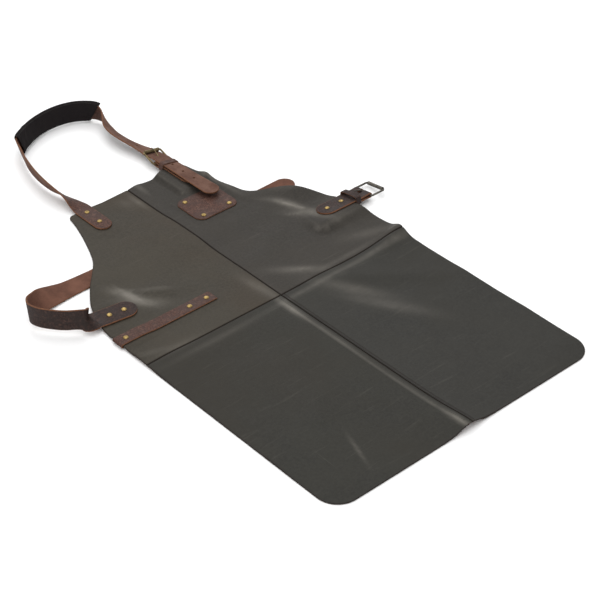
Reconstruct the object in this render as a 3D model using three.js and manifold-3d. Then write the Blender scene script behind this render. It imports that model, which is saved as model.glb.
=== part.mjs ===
// Leather work apron laid out on a flat surface, face up: four sewn panels, a padded neck strap
// with a roller buckle, a waist strap looped out at one side, its roller buckle at the other,
// a towel strap, a blank badge and fifteen rivets.
// Millimetres, +Z up. X runs across the apron (to the wearer's left hand), Y from hem to neck.
import * as THREE from 'three';
import { mergeVertices } from 'three/addons/utils/BufferGeometryUtils.js';
import Module from 'manifold-3d';

const wasm = await Module();
wasm.setup();

// ---------------------------------------------------------------- driving sizes
const CLEARANCE = 0.3;              // running gap between touching pieces

const PANEL_THICKNESS = 2;          // apron leather
const APRON_HALF_WIDTH = 270;
const LEFT_EDGE = -APRON_HALF_WIDTH;
const SKIRT_LENGTH = 424;           // waist seam to hem
const BIB_LENGTH = 406;             // waist seam to neck edge
const BIB_TOP_HALF_WIDTH = 125;
const HEM_CORNER_RADIUS = 38;
const BIB_CORNER_RADIUS = 8;
const SEAM_GAP = 1.3;               // groove between two sewn panels
const ALLOWANCE_WIDTH = 10;         // seam allowance glued back under each panel
const ALLOWANCE_THICKNESS = 2;
const THREAD = 0.7;                 // thickness of the sewing thread
const TOPSTITCH_OFFSET = 8;         // from the skirt seam to its row of top stitching

const NECK_STRAP_WIDTH = 32;
const NECK_STRAP_THICKNESS = 2.6;
const WAIST_STRAP_WIDTH = 38;
const WAIST_STRAP_THICKNESS = 2.8;
const TOWEL_STRAP_WIDTH = 24;
const TOWEL_STRAP_THICKNESS = 2.2;

const RIVET_CAP_RADIUS = 4.3;
const RIVET_CAP_HEIGHT = 1.5;
const RIVET_BACK_RADIUS = 4;
const RIVET_BACK_HEIGHT = 1;
const RIVET_POST_RADIUS = 1.5;
const RIVET_HOLE_RADIUS = 2.1;

const BADGE_WIDTH = 88;
const BADGE_HEIGHT = 72;
const BADGE_THICKNESS = 2;
const BADGE_CORNER_RADIUS = 15;
const BADGE_RIVET_SPAN_X = 56;
const BADGE_RIVET_SPAN_Y = 51;
const BADGE_CENTRE = [74, 278];

const PAD_MARGIN = 4.5;             // the sleeve reaches this far past each edge of the strap
const PAD_HEIGHT = NECK_STRAP_WIDTH + 2 * PAD_MARGIN;
const PAD_WALL = 0.9;
const PAD_FOAM = 1.8;
const PAD_EASE = 0.8;               // room round the strap inside the sleeve

const NECK_BUCKLE_X = 96;           // centre line of the neck strap's right half
const NECK_BAR_Y = 431;             // heel bar of the neck buckle
const NECK_TAB_ROLL = 10;           // degrees; its outer edge lies lower
const NECK_TAB_HEIGHT = 8.8;         // middle of the bib leather between the tab's two layers
const WAIST_BUCKLE_Y = 125;
const WAIST_BAR_X = APRON_HALF_WIDTH + 26;            // heel bar of the waist buckle
const WAIST_TAB_ROLL = -8;
const WAIST_TAB_HEIGHT = 9;

// ---------------------------------------------------------------- finishes
const finish = (color, roughness, metalness = 0) =>
  new THREE.MeshStandardMaterial({ color, roughness, metalness });

const PANEL_LEATHER = finish(0x46433d, 0.5);
const STRAP_LEATHER = finish(0x57423b, 0.55);
const PAD_FABRIC = finish(0x232124, 0.9);
const PAD_FILL = finish(0x3a393b, 0.95);
const THREAD_FINISH = finish(0x1d1c1a, 0.8);
const RIVET_BRASS = finish(0xb8944e, 0.35, 1);
const ANTIQUE_BRASS = finish(0x6d6248, 0.4, 1);
const GUNMETAL = finish(0x6a6762, 0.35, 1);

// ---------------------------------------------------------------- small maths
const radians = THREE.MathUtils.degToRad;
const clamp01 = (v) => Math.min(1, Math.max(0, v));

function ease(from, to, value) {
  const u = clamp01((value - from) / (to - from));
  return u * u * (3 - 2 * u);
}

// 1 inside [low, high], falling to 0 over `fade` on either side
const windowed = (value, low, high, fade) =>
  ease(low - fade, low, value) * (1 - ease(high, high + fade, value));

// a rounded swell of the leather, long axis turned by `turn` degrees
function swell(x, y, { at, spread, height, turn = 0 }) {
  const c = Math.cos(radians(turn));
  const s = Math.sin(radians(turn));
  const dx = x - at[0];
  const dy = y - at[1];
  const u = (dx * c + dy * s) / spread[0];
  const v = (dy * c - dx * s) / spread[1];
  return height * Math.exp(-u * u - v * v);
}

// ---------------------------------------------------------------- how the leather lies
const SWELLS = [
  { at: [-6, -SKIRT_LENGTH], spread: [26, 60], height: 8 },
  { at: [APRON_HALF_WIDTH - 8, 4], spread: [62, 17], height: 11, turn: 8 },
  { at: [APRON_HALF_WIDTH + 2, 82], spread: [46, 16], height: 4 },
  { at: [222, 222], spread: [46, 30], height: 9, turn: -30 },
  { at: [18, BIB_LENGTH], spread: [13, 44], height: 3 },
  { at: [150, 300], spread: [22, 60], height: 5, turn: 12 },
  { at: [150, -60], spread: [120, 22], height: 3.5, turn: -38 },
  { at: [90, 130], spread: [90, 20], height: 3, turn: 24 },
  { at: [-150, 150], spread: [60, 16], height: 4, turn: -34 },
  { at: [-150, -250], spread: [90, 30], height: 2, turn: 40 },
  { at: [LEFT_EDGE + 20, 20], spread: [50, 18], height: 3, turn: -20 },
  { at: [BIB_TOP_HALF_WIDTH + 9, BIB_LENGTH - 52], spread: [20, 15], height: 7, turn: -20 },
];

// The waist strap runs under the bib, from side to side
const WAIST_RUN_Y = 240;
const LIFT_OVER_WAIST_STRAP = WAIST_STRAP_THICKNESS + 2 * CLEARANCE;

const slopeX = (roll) => -Math.tan(radians(roll));
const NECK_PATCH = {
  x: [NECK_BUCKLE_X - NECK_STRAP_WIDTH / 2 - 4, NECK_BUCKLE_X + NECK_STRAP_WIDTH / 2 + 3],
  y: [334, BIB_LENGTH + 4], fade: 25,
  height: (x) => NECK_TAB_HEIGHT - PANEL_THICKNESS / 2 + slopeX(NECK_TAB_ROLL) * (x - NECK_BUCKLE_X),
};
const WAIST_RIGHT_PATCH = {
  x: [APRON_HALF_WIDTH - 84, APRON_HALF_WIDTH + 4],
  y: [WAIST_BUCKLE_Y - WAIST_STRAP_WIDTH / 2 - 3, WAIST_BUCKLE_Y + WAIST_STRAP_WIDTH / 2 + 3],
  fade: 30,
  height: (x, y) => WAIST_TAB_HEIGHT - PANEL_THICKNESS / 2
    + Math.tan(radians(WAIST_TAB_ROLL)) * (y - WAIST_BUCKLE_Y),
};

// Under single straps the leather stands on the rivets' backs
const RIVET_FOOT = RIVET_BACK_HEIGHT + 2 * CLEARANCE;
const WAIST_LEFT_LINE = { x: LEFT_EDGE + 55, y: 130, slope: -0.14 };   // the strap's centre on the bib
const WAIST_LEFT_TILT = 0.06;
const waistLeftY = (x) => WAIST_LEFT_LINE.y + WAIST_LEFT_LINE.slope * (x - WAIST_LEFT_LINE.x);
const WAIST_LEFT_PATCH = {
  x: [LEFT_EDGE - 2, LEFT_EDGE + 84],
  y: [WAIST_LEFT_LINE.y - WAIST_STRAP_WIDTH / 2 - 4, WAIST_LEFT_LINE.y + WAIST_STRAP_WIDTH / 2 + 12],
  fade: 22,
  height: (x, y) => RIVET_FOOT + 2.2 + WAIST_LEFT_TILT * (y - waistLeftY(x)),
};
const TOWEL_Y = 71;
const TOWEL_FOLD_LIFT = TOWEL_STRAP_THICKNESS + CLEARANCE;
const TOWEL_PATCH = {
  x: [LEFT_EDGE - 6, -82], fade: 16,
  y: [TOWEL_Y - TOWEL_STRAP_WIDTH / 2 - 2, TOWEL_Y + TOWEL_STRAP_WIDTH / 2 + 2],
  height: (x) => RIVET_FOOT + TOWEL_FOLD_LIFT * (1 - ease(LEFT_EDGE + 32, LEFT_EDGE + 74, x)),
};
const NECK_LEFT_X = -95;
const NECK_LEFT_PATCH = {
  x: [NECK_LEFT_X - NECK_STRAP_WIDTH / 2 - 2, NECK_LEFT_X + NECK_STRAP_WIDTH / 2 + 2],
  y: [333, BIB_LENGTH + 4], fade: 26,
  height: () => RIVET_FOOT,
};
const BADGE_PATCH = {
  x: [BADGE_CENTRE[0] - BADGE_WIDTH / 2, BADGE_CENTRE[0] + BADGE_WIDTH / 2],
  y: [BADGE_CENTRE[1] - BADGE_HEIGHT / 2, BADGE_CENTRE[1] + BADGE_HEIGHT / 2],
  fade: 16,
  height: () => RIVET_FOOT + LIFT_OVER_WAIST_STRAP,
};
const PATCHES = [
  NECK_PATCH, WAIST_RIGHT_PATCH, TOWEL_PATCH, WAIST_LEFT_PATCH, NECK_LEFT_PATCH, BADGE_PATCH,
];

// height of the apron leather's underside above the surface it lies on
function leatherHeight(x, y) {
  const seamFade = 18;
  const offSeam = (d) => ease(ALLOWANCE_WIDTH, ALLOWANCE_WIDTH + seamFade, Math.abs(d));
  let h = ALLOWANCE_THICKNESS * (1 - offSeam(x) * offSeam(y));
  for (const s of SWELLS) h += swell(x, y, s);
  const half = WAIST_STRAP_WIDTH / 2 + 2;
  const overStrap = windowed(y, WAIST_RUN_Y - half, WAIST_RUN_Y + half, 26);
  h += LIFT_OVER_WAIST_STRAP * overStrap;
  for (const p of PATCHES) {
    const w = windowed(x, p.x[0], p.x[1], p.fade) * windowed(y, p.y[0], p.y[1], p.fade);
    h += (p.height(x, y) - h) * w;
  }
  return h;
}

// the right side of the bib is drawn in a little where the leather is rucked up
const RUCK_ARMHOLE = 18;
const RUCK_OVER_STRAP = 22;
const RUCK_WAIST = 8;
function drawnIn(x, y) {
  const side = ease(118, 165, x);
  const wide = ease(100, 172, x);
  return side * RUCK_WAIST * Math.exp(-(((y - 115) / 36) ** 2))
    + wide * (RUCK_ARMHOLE * Math.exp(-(((y - 312) / 48) ** 2))
      + RUCK_OVER_STRAP * Math.exp(-(((y - WAIST_RUN_Y - 16) / 30) ** 2)));
}
const laidX = (x, y) => x - drawnIn(x, y);

// ---------------------------------------------------------------- solids
function toSolid(geometry) {
  const bare = geometry.clone();
  for (const name of Object.keys(bare.attributes)) {
    if (name !== 'position') bare.deleteAttribute(name);
  }
  const merged = mergeVertices(bare, 1e-4);
  return new wasm.Manifold(new wasm.Mesh({
    numProp: 3,
    vertProperties: new Float32Array(merged.attributes.position.array),
    triVerts: new Uint32Array(merged.index.array),
  }));
}

function toGeometry(solid) {
  const { vertProperties, triVerts } = solid.getMesh();
  const geometry = new THREE.BufferGeometry();
  geometry.setAttribute('position', new THREE.BufferAttribute(new Float32Array(vertProperties), 3));
  geometry.setIndex(new THREE.BufferAttribute(new Uint32Array(triVerts), 1));
  geometry.computeVertexNormals();
  return geometry;
}

function cut(geometry, tools) {
  let solid = toSolid(geometry);
  for (const tool of tools) solid = solid.subtract(toSolid(tool));
  return toGeometry(solid);
}

// six times the volume that a triangle's face closes with the origin
function cornerVolume(points, a, b, c) {
  const corner = (i) => new THREE.Vector3().fromArray(points, 3 * i);
  return corner(a).dot(corner(b).cross(corner(c)));
}

// a closed body from its points and triangles, turned so that its faces point out
function indexed(points, triangles) {
  let volume = 0;
  for (let i = 0; i < triangles.length; i += 3) {
    volume += cornerVolume(points, triangles[i], triangles[i + 1], triangles[i + 2]);
  }
  if (volume < 0) triangles.reverse();
  const geometry = new THREE.BufferGeometry();
  geometry.setAttribute('position', new THREE.Float32BufferAttribute(points, 3));
  geometry.setIndex(triangles);
  geometry.computeVertexNormals();
  return geometry;
}

// a closed skin over rings of equal point counts, with the two end rings filled
function loft(rings, closedLoop = false) {
  const n = rings[0].length;
  const points = rings.flat().flatMap((p) => [p.x, p.y, p.z]);
  const triangles = [];
  const last = closedLoop ? rings.length : rings.length - 1;
  for (let i = 0; i < last; i++) {
    const a = i * n;
    const b = ((i + 1) % rings.length) * n;
    for (let k = 0; k < n; k++) {
      const l = (k + 1) % n;
      triangles.push(a + k, a + l, b + l, a + k, b + l, b + k);
    }
  }
  if (!closedLoop) {
    const end = (rings.length - 1) * n;
    for (let k = 1; k < n - 1; k++) {
      triangles.push(0, k + 1, k);
      triangles.push(end, end + k, end + k + 1);
    }
  }
  return indexed(points, triangles);
}

// a slab between two height functions over the rectangle spanned by the grid lines
function heightSlab(xs, ys, low, high) {
  const nx = xs.length;
  const ny = ys.length;
  const points = [];
  for (const height of [low, high]) {
    for (const y of ys) {
      for (const x of xs) points.push(laidX(x, y), y, height(x, y));
    }
  }
  const id = (i, j, top) => (top * ny + j) * nx + i;
  const triangles = [];
  const quad = (a, b, c, d) => triangles.push(a, b, c, a, c, d);
  for (let j = 0; j < ny - 1; j++) {
    for (let i = 0; i < nx - 1; i++) {
      quad(id(i, j, 1), id(i + 1, j, 1), id(i + 1, j + 1, 1), id(i, j + 1, 1));
      quad(id(i, j, 0), id(i, j + 1, 0), id(i + 1, j + 1, 0), id(i + 1, j, 0));
    }
  }
  for (let i = 0; i < nx - 1; i++) {
    quad(id(i, 0, 0), id(i + 1, 0, 0), id(i + 1, 0, 1), id(i, 0, 1));
    quad(id(i + 1, ny - 1, 0), id(i, ny - 1, 0), id(i, ny - 1, 1), id(i + 1, ny - 1, 1));
  }
  for (let j = 0; j < ny - 1; j++) {
    quad(id(0, j + 1, 0), id(0, j, 0), id(0, j, 1), id(0, j + 1, 1));
    quad(id(nx - 1, j, 0), id(nx - 1, j + 1, 0), id(nx - 1, j + 1, 1), id(nx - 1, j, 1));
  }
  return indexed(points, triangles);
}

// ---------------------------------------------------------------- straps
// A flat strap along stations [x, y, z, roll]. Roll 0 lies grain side up; at 90 the grain faces
// to the left of the way it runs and the strap stands on edge.
function strapFrames(stations, step) {
  const curve = new THREE.CatmullRomCurve3(
    stations.map(([x, y, z]) => new THREE.Vector3(x, y, z)), false, 'centripetal');
  const rolls = new THREE.CatmullRomCurve3(
    stations.map(([, , , roll]) => new THREE.Vector3(roll, 0, 0)), false, 'catmullrom', 0.5);
  const length = curve.getLength();
  const count = Math.max(2, Math.round(length / step));
  const frames = [];
  for (let i = 0; i <= count; i++) {
    const u = curve.getUtoTmapping(i / count);
    const along = curve.getTangent(u);
    const right = new THREE.Vector3().crossVectors(along, new THREE.Vector3(0, 0, 1)).normalize();
    const up = new THREE.Vector3().crossVectors(right, along).normalize();
    const roll = radians(rolls.getPoint(u).x);
    frames.push({
      at: curve.getPoint(u),
      distance: length * i / count,
      toEnd: length * (1 - i / count),
      across: right.clone().multiplyScalar(Math.cos(roll)).addScaledVector(up, Math.sin(roll)),
      normal: up.clone().multiplyScalar(Math.cos(roll)).addScaledVector(right, -Math.sin(roll)),
    });
  }
  return frames;
}

const ROUND_END_STEPS = [0.02, 0.12, 0.3, 0.6, 1];

// adds the closer stations that a rounded end needs
function strapStations(stations, step, width, roundStart, roundEnd) {
  const frames = strapFrames(stations, step);
  const fine = strapFrames(stations, 1);
  const radius = width / 2;
  const total = frames[0].toEnd;
  const nearest = (distance) =>
    fine[Math.min(fine.length - 1, Math.max(0, Math.round(distance / total * (fine.length - 1))))];
  const out = [];
  if (roundStart) for (const share of ROUND_END_STEPS) out.push(nearest(share * radius));
  for (const f of frames) {
    const clearOfStart = !roundStart || f.distance > radius + step / 3;
    const clearOfEnd = !roundEnd || f.toEnd > radius + step / 3;
    if (clearOfStart && clearOfEnd) out.push(f);
  }
  if (roundEnd) {
    for (const share of [...ROUND_END_STEPS].reverse()) out.push(nearest(total - share * radius));
  }
  return out;
}

function roundedHalf(distance, radius) {
  if (distance >= radius) return radius;
  const short = radius - distance;
  return Math.max(radius * 0.18, Math.sqrt(radius * radius - short * short));
}

function strap(stations, { width, thickness, step = 12, roundStart = false, roundEnd = false }) {
  const half = thickness / 2;
  const rings = strapStations(stations, step, width, roundStart, roundEnd).map((f) => {
    const hw = Math.min(
      roundStart ? roundedHalf(f.distance, width / 2) : width / 2,
      roundEnd ? roundedHalf(f.toEnd, width / 2) : width / 2);
    const corner = (a, b) => f.at.clone().addScaledVector(f.across, a).addScaledVector(f.normal, b);
    return [corner(-hw, -half), corner(-hw, half), corner(hw, half), corner(hw, -half)];
  });
  return loft(rings);
}

// ---------------------------------------------------------------- the model and its helpers
const apron = new THREE.Group();

function add(parent, name, geometry, material) {
  const mesh = new THREE.Mesh(geometry, material);
  mesh.name = name;
  parent.add(mesh);
  return mesh;
}

// a group lying on a tilted plane: local X points along `heading`, local Z is the plane's normal
function tiltedGroup(x, y, z, heading, roll) {
  const group = new THREE.Group();
  group.rotation.set(radians(roll), 0, radians(heading), 'ZYX');
  group.position.set(x, y, z);
  group.updateMatrixWorld(true);
  apron.add(group);
  return group;
}

function cylinder(radius, from, to, sides = 10) {
  const geometry = new THREE.CylinderGeometry(radius, radius, to - from, sides);
  geometry.rotateX(Math.PI / 2);
  geometry.translate(0, 0, (from + to) / 2);
  return geometry;
}

// Rivets: a domed cap with its post, and the back cap under the leather
const rivetHoles = [];

function rivet(name, group, x, y, top, bottom) {
  const cap = [
    [0, top + CLEARANCE + RIVET_CAP_HEIGHT],
    [RIVET_CAP_RADIUS * 0.55, top + CLEARANCE + RIVET_CAP_HEIGHT * 0.88],
    [RIVET_CAP_RADIUS * 0.88, top + CLEARANCE + RIVET_CAP_HEIGHT * 0.5],
    [RIVET_CAP_RADIUS, top + CLEARANCE],
    [RIVET_POST_RADIUS, top + CLEARANCE],
    [RIVET_POST_RADIUS, bottom],
    [0, bottom],
  ].map(([r, z]) => new THREE.Vector2(r, z)).reverse();
  const capGeometry = new THREE.LatheGeometry(cap, 10);
  capGeometry.rotateX(Math.PI / 2);
  const back = cylinder(RIVET_BACK_RADIUS, bottom - CLEARANCE - RIVET_BACK_HEIGHT, bottom - CLEARANCE);
  for (const [part, geometry] of [['', capGeometry], ['_back', back]]) {
    const mesh = add(group, `rivet_${name}${part}`, geometry, RIVET_BRASS);
    mesh.position.set(x, y, 0);
  }
  const hole = cylinder(RIVET_HOLE_RADIUS, bottom - 6, top + 6);
  hole.translate(x, y, 0);
  hole.applyMatrix4(group.matrixWorld);
  rivetHoles.push(hole);
}

// ---------------------------------------------------------------- wire buckles with a roller
function wireLoop(length, width, wire, sides = 8) {
  const r = wire * 0.7;              // bend radius of the corners' middle line
  const corners = [
    [0, -width / 2], [length, -width / 2], [length, width / 2], [0, width / 2],
  ].map(([x, y]) => new THREE.Vector3(x, y, 0));
  const rings = [];
  const steps = 3;
  for (let c = 0; c < 4; c++) {
    const here = corners[c];
    const before = corners[(c + 3) % 4].clone().sub(here).normalize();
    const after = corners[(c + 1) % 4].clone().sub(here).normalize();
    const centre = here.clone().addScaledVector(before, r).addScaledVector(after, r);
    for (let s = 0; s <= steps; s++) {
      const a = (s / steps) * Math.PI / 2;
      const out = before.clone().multiplyScalar(-Math.sin(a)).addScaledVector(after, -Math.cos(a));
      const ring = [];
      for (let k = 0; k < sides; k++) {
        const b = (k / sides) * 2 * Math.PI;
        ring.push(centre.clone().addScaledVector(out, r + Math.cos(b) * wire / 2)
          .add(new THREE.Vector3(0, 0, Math.sin(b) * wire / 2)));
      }
      rings.push(ring);
    }
  }
  return loft(rings, true);
}

function tubeRing(inner, outer, from, to, sides = 14) {
  const profile = [[inner, from], [outer, from], [outer, to], [inner, to], [inner, from]]
    .map(([r, y]) => new THREE.Vector2(r, y));
  return new THREE.LatheGeometry(profile, sides);
}

// the prong: an eye round the heel bar, then a shank through the listed points (local X, Z)
function prongGeometry(barRadius, radius, shank, eyeFrom, eyeTo) {
  const eyeRadius = barRadius + CLEARANCE + radius;
  const points = [];
  const steps = 8;
  for (let i = 0; i <= steps; i++) {
    const a = radians(eyeFrom + (eyeTo - eyeFrom) * i / steps);
    points.push(new THREE.Vector3(Math.cos(a) * eyeRadius, 0, Math.sin(a) * eyeRadius));
  }
  for (const [x, z] of shank) points.push(new THREE.Vector3(x, 0, z));
  const curve = new THREE.CatmullRomCurve3(points, false, 'centripetal');
  const section = new THREE.Shape();
  section.absarc(0, 0, radius, 0, 2 * Math.PI);
  return new THREE.ExtrudeGeometry(section, {
    steps: 20, extrudePath: curve, curveSegments: 4, bevelEnabled: false,
  });
}

// A tab folded round the heel bar with the bib between its layers, its keeper, and the buckle.
// Local X points away from the apron, Z up out of its face; the heel bar lies along Y at X = 0.
function buckleSet(size) {
  const half = PANEL_THICKNESS / 2 + CLEARANCE + size.thickness / 2;
  const fold = size.wire / 2 + CLEARANCE + size.thickness / 2;
  const stations = [[-size.tabLength, 0, half], [-14, 0, half], [-8, 0, half + 0.2]];
  const turn = 6;
  for (let i = 0; i <= turn; i++) {
    const a = Math.PI / 2 - Math.PI * i / turn;
    stations.push([Math.cos(a) * fold, 0, Math.sin(a) * fold]);
  }
  stations.push([-8, 0, -half - 0.2], [-14, 0, -half], [-size.tabLength, 0, -half]);
  const rings = foldedRings(stations, size);
  const slot = new THREE.BoxGeometry(size.slotLength + 10, size.slotWidth, 30);
  slot.translate(10 - (size.slotLength + 10) / 2, 0, 0);
  const tab = cut(loft(rings), [slot]);

  const frame = wireLoop(size.frameLength, size.inner + size.wire, size.wire);
  const rollerHalf = size.inner / 2 - 1.2;
  const bore = size.wire / 2 + CLEARANCE;
  const roller = tubeRing(bore, bore + size.rollerWall, -rollerHalf, rollerHalf);
  return { tab, frame, roller, half, fold };
}

// rings of a folded strap whose path lies in the local XZ plane, both ends rounded in plan
function foldedRings(stations, size) {
  const points = stations.map(([x, , z]) => new THREE.Vector2(x, z));
  const dense = [];
  const radius = size.width / 2;
  for (const share of ROUND_END_STEPS) {
    dense.push([points[0].clone().add(new THREE.Vector2(share * radius, 0)), share * radius]);
  }
  for (let i = 1; i < points.length - 1; i++) dense.push([points[i], radius * 2]);
  const last = points[points.length - 1];
  for (const share of [...ROUND_END_STEPS].reverse()) {
    dense.push([last.clone().add(new THREE.Vector2(share * radius, 0)), share * radius]);
  }
  return dense.map(([p, distance], i) => {
    const a = dense[Math.max(0, i - 1)][0];
    const b = dense[Math.min(dense.length - 1, i + 1)][0];
    const along = b.clone().sub(a).normalize();
    const out = new THREE.Vector2(-along.y, along.x);
    const hw = roundedHalf(distance, radius);
    const t = size.thickness / 2;
    const corner = (w, n) => new THREE.Vector3(p.x + out.x * n, w, p.y + out.y * n);
    return [corner(-hw, -t), corner(-hw, t), corner(hw, t), corner(hw, -t)];
  });
}

// a closed band round the tab and the strap on it
function keeperGeometry(size, low, high) {
  const wall = size.keeperWall;
  const inner = { y: size.width / 2 + CLEARANCE + 0.2, low: low - CLEARANCE, high: high + CLEARANCE };
  const ring = (grow, x) => [
    [-inner.y - grow, inner.low - grow], [inner.y + grow, inner.low - grow],
    [inner.y + grow, inner.high + grow * 0.5], [inner.y * 0.8, inner.high + grow],
    [-inner.y * 0.8, inner.high + grow], [-inner.y - grow, inner.high + grow * 0.5],
  ].map(([y, z]) => new THREE.Vector3(x, y, z));
  const half = size.keeperWidth / 2;
  return loft([ring(0, -half), ring(wall, -half), ring(wall, half), ring(0, half)], true);
}

// ================================================================ 1. neck buckle
const NECK_SET = {
  width: NECK_STRAP_WIDTH, thickness: NECK_STRAP_THICKNESS, wire: 3.6, inner: NECK_STRAP_WIDTH + 1.6,
  frameLength: 33, rollerWall: 1.3, tabLength: 90, slotLength: 11, slotWidth: 6.5,
  keeperWidth: 11, keeperWall: 1.4,
};
const neckGroup = tiltedGroup(NECK_BUCKLE_X, NECK_BAR_Y, NECK_TAB_HEIGHT, 90, NECK_TAB_ROLL);
const neckSet = buckleSet(NECK_SET);
const NECK_FRAME_TILT = 15;          // degrees that the frame leans up over the strap
const NECK_KEEPER_X = -18;
const neckTabTop = neckSet.half + NECK_STRAP_THICKNESS / 2;
const strapOnRivets = neckTabTop + 2 * CLEARANCE + RIVET_CAP_HEIGHT + NECK_STRAP_THICKNESS / 2;
const strapOverFold = neckSet.fold + NECK_STRAP_THICKNESS + CLEARANCE;
const strapInKeeper = (strapOverFold + strapOnRivets) / 2;
const rollerRadius = NECK_SET.wire / 2 + CLEARANCE + NECK_SET.rollerWall;
const rollerAt = new THREE.Vector2(
  Math.cos(radians(NECK_FRAME_TILT)) * NECK_SET.frameLength,
  Math.sin(radians(NECK_FRAME_TILT)) * NECK_SET.frameLength);
const strapUnderRoller = rollerAt.y - rollerRadius - CLEARANCE - NECK_STRAP_THICKNESS / 2;
const PRONG_RADIUS = 1.2;

const neckRivets = [-34, -70];
for (const [i, x] of neckRivets.entries()) {
  rivet(`neck_right_${i + 1}`, neckGroup, x, 0, neckTabTop, -neckTabTop);
}
const neckTabHoles = rivetHoles.slice(-2).map((h) => h.clone().applyMatrix4(
  neckGroup.matrixWorld.clone().invert()));
add(neckGroup, 'neck_buckle_tab', cut(neckSet.tab, neckTabHoles), STRAP_LEATHER);
const neckFrame = add(neckGroup, 'neck_buckle_frame', neckSet.frame, ANTIQUE_BRASS);
neckFrame.rotation.y = -radians(NECK_FRAME_TILT);
const neckRoller = add(neckGroup, 'neck_buckle_roller', neckSet.roller, ANTIQUE_BRASS);
neckRoller.position.set(rollerAt.x, 0, rollerAt.y);
const prongOnRoller = rollerRadius + CLEARANCE + PRONG_RADIUS;
add(neckGroup, 'neck_buckle_prong', prongGeometry(NECK_SET.wire / 2, PRONG_RADIUS, [
  [7.4, 4.4], [16, 8.6], [rollerAt.x - 6, rollerAt.y + prongOnRoller + 0.2],
  [rollerAt.x + 1.5, rollerAt.y + prongOnRoller + 0.3],
], -200, 50), ANTIQUE_BRASS);
const neckKeeper = add(neckGroup, 'neck_keeper', keeperGeometry(
  NECK_SET, -neckTabTop, strapInKeeper + NECK_STRAP_THICKNESS / 2 + CLEARANCE), STRAP_LEATHER);
neckKeeper.position.x = NECK_KEEPER_X;

// ================================================================ 2. neck strap and pad
const NECK_LEFT_TOP = leatherHeight(NECK_LEFT_X, 360) + PANEL_THICKNESS;
const neckLeftZ = NECK_LEFT_TOP + CLEARANCE + NECK_STRAP_THICKNESS / 2;
// the strap has turned over by the time it reaches the buckle, so its flesh side is up there
const flesh = (roll) => roll - 180;
const onNeckSet = (x, z, roll) => {
  const p = new THREE.Vector3(x, 0, z).applyMatrix4(neckGroup.matrixWorld);
  return [p.x, p.y, p.z, roll];
};

// the pad's middle line; it stands on its lower edge and leans outwards
const PAD_ROUTE = [
  [-73, 627, 21.5, -74], [-47, 645, 22, -75], [-14, 660, 22, -79], [24, 667, 22, -81],
  [56, 664, 21.5, -80], [80, 653, 21.5, -80], [99, 634, 21, -87],
];
const NECK_ROUTE = [
  [NECK_LEFT_X, 334, neckLeftZ, 0],
  [NECK_LEFT_X, 372, neckLeftZ, 0],
  [NECK_LEFT_X, 404, neckLeftZ, 0],
  [NECK_LEFT_X, 413, neckLeftZ + 0.4, -2],
  [-96.5, 424, neckLeftZ + 2.8, -14],
  [-99, 438, 12.5, -32],
  [-104, 460, 17.5, -50],
  [-107, 488, 19.5, -64],
  [-104.5, 526, 20.5, -73],
  [-96, 566, 21, -78],
  [-84, 600, 21, -78],
  ...PAD_ROUTE,
  [101, 612, 20, -104],
  [95, 592, 18.5, -124],
  [87, 572, 17.5, -140],
  [84, 551, 17, -147],
  [86, 522, 15.5, -151],
  [92, 495, 13, -157],
  onNeckSet(NECK_SET.frameLength + 8, strapUnderRoller - 0.4, flesh(NECK_TAB_ROLL + 3)),
  onNeckSet(rollerAt.x, strapUnderRoller, flesh(NECK_TAB_ROLL)),
  onNeckSet(16, (strapUnderRoller + strapOverFold) / 2 + 0.4, flesh(NECK_TAB_ROLL)),
  onNeckSet(4, strapOverFold + 0.5, flesh(NECK_TAB_ROLL)),
  onNeckSet(-8, strapOverFold + 0.5, flesh(NECK_TAB_ROLL)),
  onNeckSet(NECK_KEEPER_X, strapInKeeper, flesh(NECK_TAB_ROLL)),
  onNeckSet(-30, strapOnRivets + 0.1, flesh(NECK_TAB_ROLL)),
  onNeckSet(-74, strapOnRivets + 0.4, flesh(NECK_TAB_ROLL - 2)),
  onNeckSet(-112, strapOnRivets + 1.4, flesh(4)),
  onNeckSet(-148, strapOnRivets + 2, flesh(1)),
];
const NECK_STEP = 9;
const neckStrapPlain = strap(NECK_ROUTE, {
  width: NECK_STRAP_WIDTH, thickness: NECK_STRAP_THICKNESS, step: NECK_STEP,
  roundStart: true, roundEnd: true,
});

function straightHole(x, y, radius) {
  const hole = cylinder(radius, -10, 60);
  hole.translate(x, y, 0);
  return hole;
}
const neckLeftRivets = [358, 394];
const neckLeftGroup = tiltedGroup(0, 0, 0, 0, 0);
for (const [i, y] of neckLeftRivets.entries()) {
  rivet(`neck_left_${i + 1}`, neckLeftGroup, NECK_LEFT_X, y,
    neckLeftZ + NECK_STRAP_THICKNESS / 2, leatherHeight(NECK_LEFT_X, 360));
}
const PUNCH_PITCH = 30;
const PUNCH_RADIUS = 2.4;
const strapPunches = [1, 2, 3].map((i) => {
  const punch = cylinder(PUNCH_RADIUS, -30, 40, 10);
  punch.translate(-148 + PUNCH_PITCH * (i + 1), 0, 0);
  return punch.applyMatrix4(neckGroup.matrixWorld);
});
const PRONG_SLOT_LENGTH = 16;       // leaves the prong room when the buckle tips up
const prongSlot = new THREE.BoxGeometry(PRONG_SLOT_LENGTH, 4.4, 20);
prongSlot.translate(PRONG_SLOT_LENGTH / 2 + 2.5, 0, 5);
prongSlot.applyMatrix4(neckGroup.matrixWorld);
const outerPunch = straightHole(91, 499, PUNCH_RADIUS);
add(apron, 'neck_strap', cut(neckStrapPlain, [
  ...neckLeftRivets.map((y) => straightHole(NECK_LEFT_X, y, RIVET_HOLE_RADIUS)),
  ...strapPunches, prongSlot, outerPunch,
]), STRAP_LEATHER);

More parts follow.
